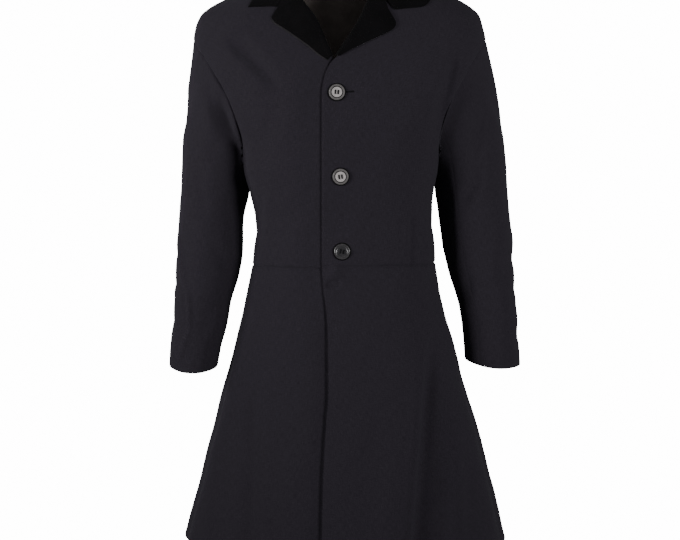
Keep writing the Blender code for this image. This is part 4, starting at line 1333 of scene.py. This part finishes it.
# Each finish's darkest and lightest colour
COLOURS = {
    "charcoal wool": ((0.0098, 0.0084, 0.0112), (0.0168, 0.0146, 0.0190)),
    # Painted highlight: a lighter copy of the charcoal wool for the edge under the right lapel, for the light
    # line along it
    "charcoal wool with painted highlight": ((0.0125, 0.0115, 0.0125), (0.0185, 0.017, 0.018)),
    "black velvet": ((0.0006, 0.00055, 0.0007), (0.0017, 0.0014, 0.0018)),
    "dark satin": ((0.125, 0.106, 0.101), (0.195, 0.166, 0.157)),
    "black thread": ((0.0012, 0.0012, 0.0015), (0.005, 0.005, 0.006)),
    # Painted shade: the near-black of the buttons' feet and grooves stands for the shadow round each button
    # and the shade in its groove
    "dark horn": ((0.001, 0.001, 0.0011), (0.003, 0.003, 0.0033)),
    "smoke grey rim": ((0.052, 0.048, 0.048), (0.09, 0.084, 0.083)),
    "smoke grey middle": ((0.18, 0.167, 0.165), (0.29, 0.27, 0.266)),
    # Painted highlight: the dark button's rim is coloured lighter than its middle, for the bright ring on it,
    # besides its real gloss
    "dark rim with painted highlight": ((0.010, 0.0095, 0.0105), (0.03, 0.028, 0.03)),
    "dark middle": ((0.008, 0.0076, 0.0086), (0.02, 0.019, 0.021)),
    "pale floor": ((0.83, 0.83, 0.83), (0.87, 0.87, 0.87)),
}

# Each horn's roughness and shine
HORN_FINISHES = {
    # name: (roughness, shine)
    # Painted shade for the buttons' feet and grooves
    "dark horn": (0.8, 0.04),
    "smoke grey rim": (0.5, 0.2),
    "smoke grey middle": (0.5, 0.2),
    # Painted highlight on the dark button's rim, lighter than its middle
    "dark rim with painted highlight": (0.28, 0.5),
    "dark middle": (0.45, 0.15),
}

# The horns of each kind of button
BUTTON_HORNS = {
    # slot: (rim, middle, painted shade on foot and groove)
    "grey_horn": ("smoke grey rim", "smoke grey middle", "dark horn"),
    "dark_horn": ("dark rim with painted highlight", "dark middle", "dark horn"),
}


def shade(name, roughness):
    """A new material, its node tree and its surface."""
    made = bpy.data.materials.new(name)
    made.use_nodes = True
    surface = made.node_tree.nodes["Principled BSDF"]
    surface.inputs["Roughness"].default_value = roughness
    return made, made.node_tree, surface


def add(tree, kind, **inputs):
    """A new node of a kind, with its inputs' values."""
    node = tree.nodes.new(kind)
    for key, value in inputs.items():
        node.inputs[key.replace("_", " ")].default_value = value
    return node


def stretched(tree, source, scale):
    """The source places, stretched by a scale for each axis."""
    mapping = tree.nodes.new("ShaderNodeMapping")
    mapping.inputs["Scale"].default_value = scale
    tree.links.new(source, mapping.inputs["Vector"])
    return mapping.outputs["Vector"]


def colour_of(tree, surface, finish, value, low=0.3, high=0.7):
    """Colours the surface from the finish's darkest to its lightest as the value goes from low to high."""
    dark, light = COLOURS[finish]
    part = tree.nodes.new("ShaderNodeMapRange")
    part.inputs["From Min"].default_value = low
    part.inputs["From Max"].default_value = high
    tree.links.new(value, part.inputs["Value"])
    mix = tree.nodes.new("ShaderNodeMix")
    mix.data_type = "RGBA"
    mix.inputs[6].default_value = (*dark, 1)
    mix.inputs[7].default_value = (*light, 1)
    tree.links.new(part.outputs["Result"], mix.inputs[0])
    tree.links.new(mix.outputs[2], surface.inputs["Base Color"])


def bump(tree, surface, height, strength, distance):
    """Roughens the surface a little by the height."""
    node = tree.nodes.new("ShaderNodeBump")
    node.inputs["Strength"].default_value = strength
    node.inputs["Distance"].default_value = distance
    tree.links.new(height, node.inputs["Height"])
    tree.links.new(node.outputs["Normal"], surface.inputs["Normal"])


def wool_material(name):
    """Matt charcoal wool: a fine plain weave with slightly uneven yarns and a short nap."""
    made, tree, surface = shade(name, 0.9)
    place = tree.nodes.new("ShaderNodeTexCoord").outputs["UV"]
    along = add(tree, "ShaderNodeTexNoise", Scale=1.0, Detail=3.0, Roughness=0.6)
    across = add(tree, "ShaderNodeTexNoise", Scale=1.0, Detail=3.0, Roughness=0.6)
    tree.links.new(stretched(tree, place, (900, 90, 90)), along.inputs["Vector"])
    tree.links.new(stretched(tree, place, (110, 1000, 1000)), across.inputs["Vector"])
    both = tree.nodes.new("ShaderNodeMath")
    both.operation = "ADD"
    tree.links.new(along.outputs["Fac"], both.inputs[0])
    tree.links.new(across.outputs["Fac"], both.inputs[1])
    colour_of(tree, surface, name, both.outputs[0], 0.7, 1.3)
    surface.inputs["IOR"].default_value = 1.25
    surface.inputs["Sheen Weight"].default_value = 0.04
    surface.inputs["Sheen Roughness"].default_value = 0.55
    surface.inputs["Sheen Tint"].default_value = (0.62, 0.62, 0.72, 1)
    surface.inputs["Specular IOR Level"].default_value = 0.1
    bump(tree, surface, both.outputs[0], 0.35, 0.0006)
    return made


def velvet_material():
    """Black silk velvet: nearly black, with a faint lift where the pile is seen from the side."""
    made, tree, surface = shade("black velvet", 0.95)
    place = tree.nodes.new("ShaderNodeTexCoord").outputs["Object"]
    pile = add(tree, "ShaderNodeTexNoise", Scale=900.0, Detail=2.0)
    brushed = add(tree, "ShaderNodeTexNoise", Scale=28.0, Detail=3.0)
    tree.links.new(place, pile.inputs["Vector"])
    tree.links.new(place, brushed.inputs["Vector"])
    colour_of(tree, surface, "black velvet", brushed.outputs["Fac"])
    surface.inputs["Sheen Weight"].default_value = 0.11
    surface.inputs["Sheen Roughness"].default_value = 0.3
    surface.inputs["Sheen Tint"].default_value = (0.7, 0.66, 0.75, 1)
    surface.inputs["Specular IOR Level"].default_value = 0.08
    bump(tree, surface, pile.outputs["Fac"], 0.5, 0.0008)
    return made


def lining_material():
    """Dark brown satin with a fine twill line."""
    made, tree, surface = shade("dark satin", 0.65)
    place = tree.nodes.new("ShaderNodeTexCoord").outputs["Object"]
    twill = add(tree, "ShaderNodeTexWave", Scale=420.0, Distortion=0.4, Detail=1.0)
    twill.wave_type = "BANDS"
    twill.bands_direction = "DIAGONAL"
    soft = add(tree, "ShaderNodeTexNoise", Scale=22.0, Detail=2.0)
    tree.links.new(place, twill.inputs["Vector"])
    tree.links.new(place, soft.inputs["Vector"])
    colour_of(tree, surface, "dark satin", soft.outputs["Fac"])
    surface.inputs["Specular IOR Level"].default_value = 0.12
    bump(tree, surface, twill.outputs["Fac"], 0.2, 0.0002)
    return made


# Horn's coat, in shares of its shine
HORN_COAT = 0.1


def horn_material(name, roughness, shine):
    """Polished horn with soft cloudy streaks."""
    made, tree, surface = shade(name, roughness)
    place = tree.nodes.new("ShaderNodeTexCoord").outputs["Object"]
    cloud = add(tree, "ShaderNodeTexNoise", Scale=1.0, Detail=4.0, Distortion=1.2)
    tree.links.new(stretched(tree, place, (160, 160, 520)), cloud.inputs["Vector"])
    colour_of(tree, surface, name, cloud.outputs["Fac"])
    surface.inputs["Specular IOR Level"].default_value = shine
    surface.inputs["Coat Weight"].default_value = HORN_COAT * shine
    surface.inputs["Coat Roughness"].default_value = 0.3
    return made


def thread_material():
    """Black twisted thread."""
    made, tree, surface = shade("black thread", 0.9)
    surface.inputs["Specular IOR Level"].default_value = 0.08
    place = tree.nodes.new("ShaderNodeTexCoord").outputs["Object"]
    twist = add(tree, "ShaderNodeTexWave", Scale=700.0, Distortion=1.0, Detail=1.0)
    twist.bands_direction = "DIAGONAL"
    tree.links.new(place, twist.inputs["Vector"])
    colour_of(tree, surface, "black thread", twist.outputs["Fac"], 0.2, 0.8)
    bump(tree, surface, twist.outputs["Fac"], 0.4, 0.0003)
    return made


def floor_material():
    """Pale seamless paper."""
    made, tree, surface = shade("pale floor", 0.85)
    place = tree.nodes.new("ShaderNodeTexCoord").outputs["Object"]
    grain = add(tree, "ShaderNodeTexNoise", Scale=60.0, Detail=3.0)
    tree.links.new(place, grain.inputs["Vector"])
    colour_of(tree, surface, "pale floor", grain.outputs["Fac"])
    return made


def put_on(piece, material):
    """Gives a piece this one material."""
    piece.data.materials.clear()
    piece.data.materials.append(material)


# The setting, in metres: the floor, how bright the surround is behind the coat and how much it lights it,
# the lights with their powers in watts and their spreads in degrees, and the camera with its tilt in radians
# and its lens in millimetres
FLOOR_SIDES = 96
FLOOR_RADIUS = 1.7
FLOOR_HEIGHT = -1.45
SURROUND_SEEN = 15.0
SURROUND_LIGHT = 0.22
LIGHTS = (
    # name, place, aim, size, power, spread
    ("key", (-2.6, -1.6, -0.15), (0, 0, -0.25), (0.9, 1.0), 18.4, 75),
    ("side", (-2.6, -0.1, 0.3), (-0.28, 0, -0.15), (0.6, 0.6), 2.2, 40),
    ("fill", (2.2, -2.4, -0.05), (0, 0, -0.25), (1.0, 1.0), 14.8, 65),
    ("right", (2.6, -1.7, -0.1), (0, 0, -0.25), (1.2, 1.2), 1.8, 75),
    ("back", (-0.2, 3.2, 0.4), (0, 0, -0.4), (1.8, 1.8), 45, 180),
)
CAMERA_PLACE = (-0.006, -2.9354, -0.2986)
CAMERA_TILT = 0.0741
CAMERA_LENS = 89.03
CAMERA_SENSOR = 36


def floor_piece():
    """A round of pale paper well below the coat."""
    bpy.ops.mesh.primitive_circle_add(
        vertices=FLOOR_SIDES,
        radius=FLOOR_RADIUS,
        fill_type="NGON",
        location=(0, 0, FLOOR_HEIGHT),
    )
    made = bpy.context.active_object
    made.name = "floor"
    bpy.ops.object.transform_apply(location=True, rotation=True, scale=True)
    put_on(made, floor_material())
    return made


def soft_light(name, place, aim, size, power, spread):
    """A broad light that shines from its place towards its aim."""
    data = bpy.data.lights.new(name, "AREA")
    data.shape = "RECTANGLE"
    data.size, data.size_y = size
    data.energy = power
    data.spread = math.radians(spread)
    made = bpy.data.objects.new(name, data)
    bpy.context.scene.collection.objects.link(made)
    made.location = place
    made.rotation_mode = "QUATERNION"
    made.rotation_quaternion = (Vector(aim) - Vector(place)).to_track_quat("-Z", "Y")


def pale_world(to_camera, to_scene):
    """A plain pale surround: white behind the coat, and a softer light all round it."""
    world = bpy.data.worlds.new("pale surround")
    bpy.context.scene.world = world
    world.use_nodes = True
    tree = world.node_tree
    background = tree.nodes["Background"]
    background.inputs["Color"].default_value = (1, 1, 1, 1)
    rays = tree.nodes.new("ShaderNodeLightPath")
    strength = tree.nodes.new("ShaderNodeMix")
    strength.data_type = "FLOAT"
    strength.inputs[2].default_value = to_scene
    strength.inputs[3].default_value = to_camera
    tree.links.new(rays.outputs["Is Camera Ray"], strength.inputs[0])
    tree.links.new(strength.outputs[0], background.inputs["Strength"])


def camera():
    """The camera, straight in front of the coat and tilted slightly down."""
    data = bpy.data.cameras.new("camera")
    data.sensor_width = CAMERA_SENSOR
    data.lens = CAMERA_LENS
    made = bpy.data.objects.new("camera", data)
    bpy.context.scene.collection.objects.link(made)
    made.location = CAMERA_PLACE
    made.rotation_mode = "QUATERNION"
    facing = Vector((0, math.cos(CAMERA_TILT), -math.sin(CAMERA_TILT)))
    made.rotation_quaternion = facing.to_track_quat("-Z", "Y")
    bpy.context.scene.camera = made


def carried(piece, slot_name, *nodes):
    """Fixes a piece to the coat's one body, and hides any nodes that it replaces; its slot name is not used.
    """
    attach(piece, "root")
    if nodes:
        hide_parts(*nodes)


def finished(piece, material, slot_name, *nodes):
    """Puts a piece's one material on it and has the coat carry it."""
    put_on(piece, material)
    carried(piece, slot_name, *nodes)


def side_pieces(side, wool, velvet):
    """The wool pieces of one side, and the velvet of its lapel."""
    finished(front_piece(side), wool, "wool", f"front_{side}")
    finished(back_piece(side), wool, "wool", f"back_{side}")
    finished(skirt_piece(side), wool, "wool", f"skirt_{side}")
    finished(sleeve_piece(side, "top"), wool, "wool", f"top_sleeve_{side}")
    finished(sleeve_piece(side, "under"), wool, "wool", f"under_sleeve_{side}")
    finished(velvet_piece(f"velvet_lapel_{side}", f"lapel_{side}"), velvet, "velvet", f"lapel_{side}")


def sewn_buttons(horns, thread):
    """The three buttons with their thread, and the first one's buttonhole."""
    for name, across, height, turned, horn in BUTTONS:
        own_horns = [horns[kind] for kind in BUTTON_HORNS[horn]]
        button = button_piece(f"horn_{name}", across, height, turned, own_horns, BUTTON_ZONES[horn])
        carried(button, horn, name)
        finished(thread_piece(f"thread_{name}", across, height, turned), thread, horn)
    finished(buttonhole_piece(), thread, "wool")


def build():
    """Makes every piece, and hides the nodes that each replaces."""
    deselect_all()
    wool = wool_material("charcoal wool")
    # A lighter copy of the wool, as a painted highlight on the lapel's edge
    painted_highlight_wool = wool_material("charcoal wool with painted highlight")
    velvet = velvet_material()
    lining = lining_material()
    thread = thread_material()
    horns = {name: horn_material(name, *finish) for name, finish in HORN_FINISHES.items()}
    for side in ("left", "right"):
        side_pieces(side, wool, velvet)
    finished(velvet_piece("velvet_collar", "collar"), velvet, "velvet", "collar")
    # The lapel edge wears the lighter wool, a painted highlight
    finished(lapel_edge_piece(), painted_highlight_wool, "wool")
    finished(lining_piece(), lining, "lining", "back_lining")
    sewn_buttons(horns, thread)
    floor_piece()


build()
pale_world(SURROUND_SEEN, SURROUND_LIGHT)
for light in LIGHTS:
    soft_light(*light)
camera()
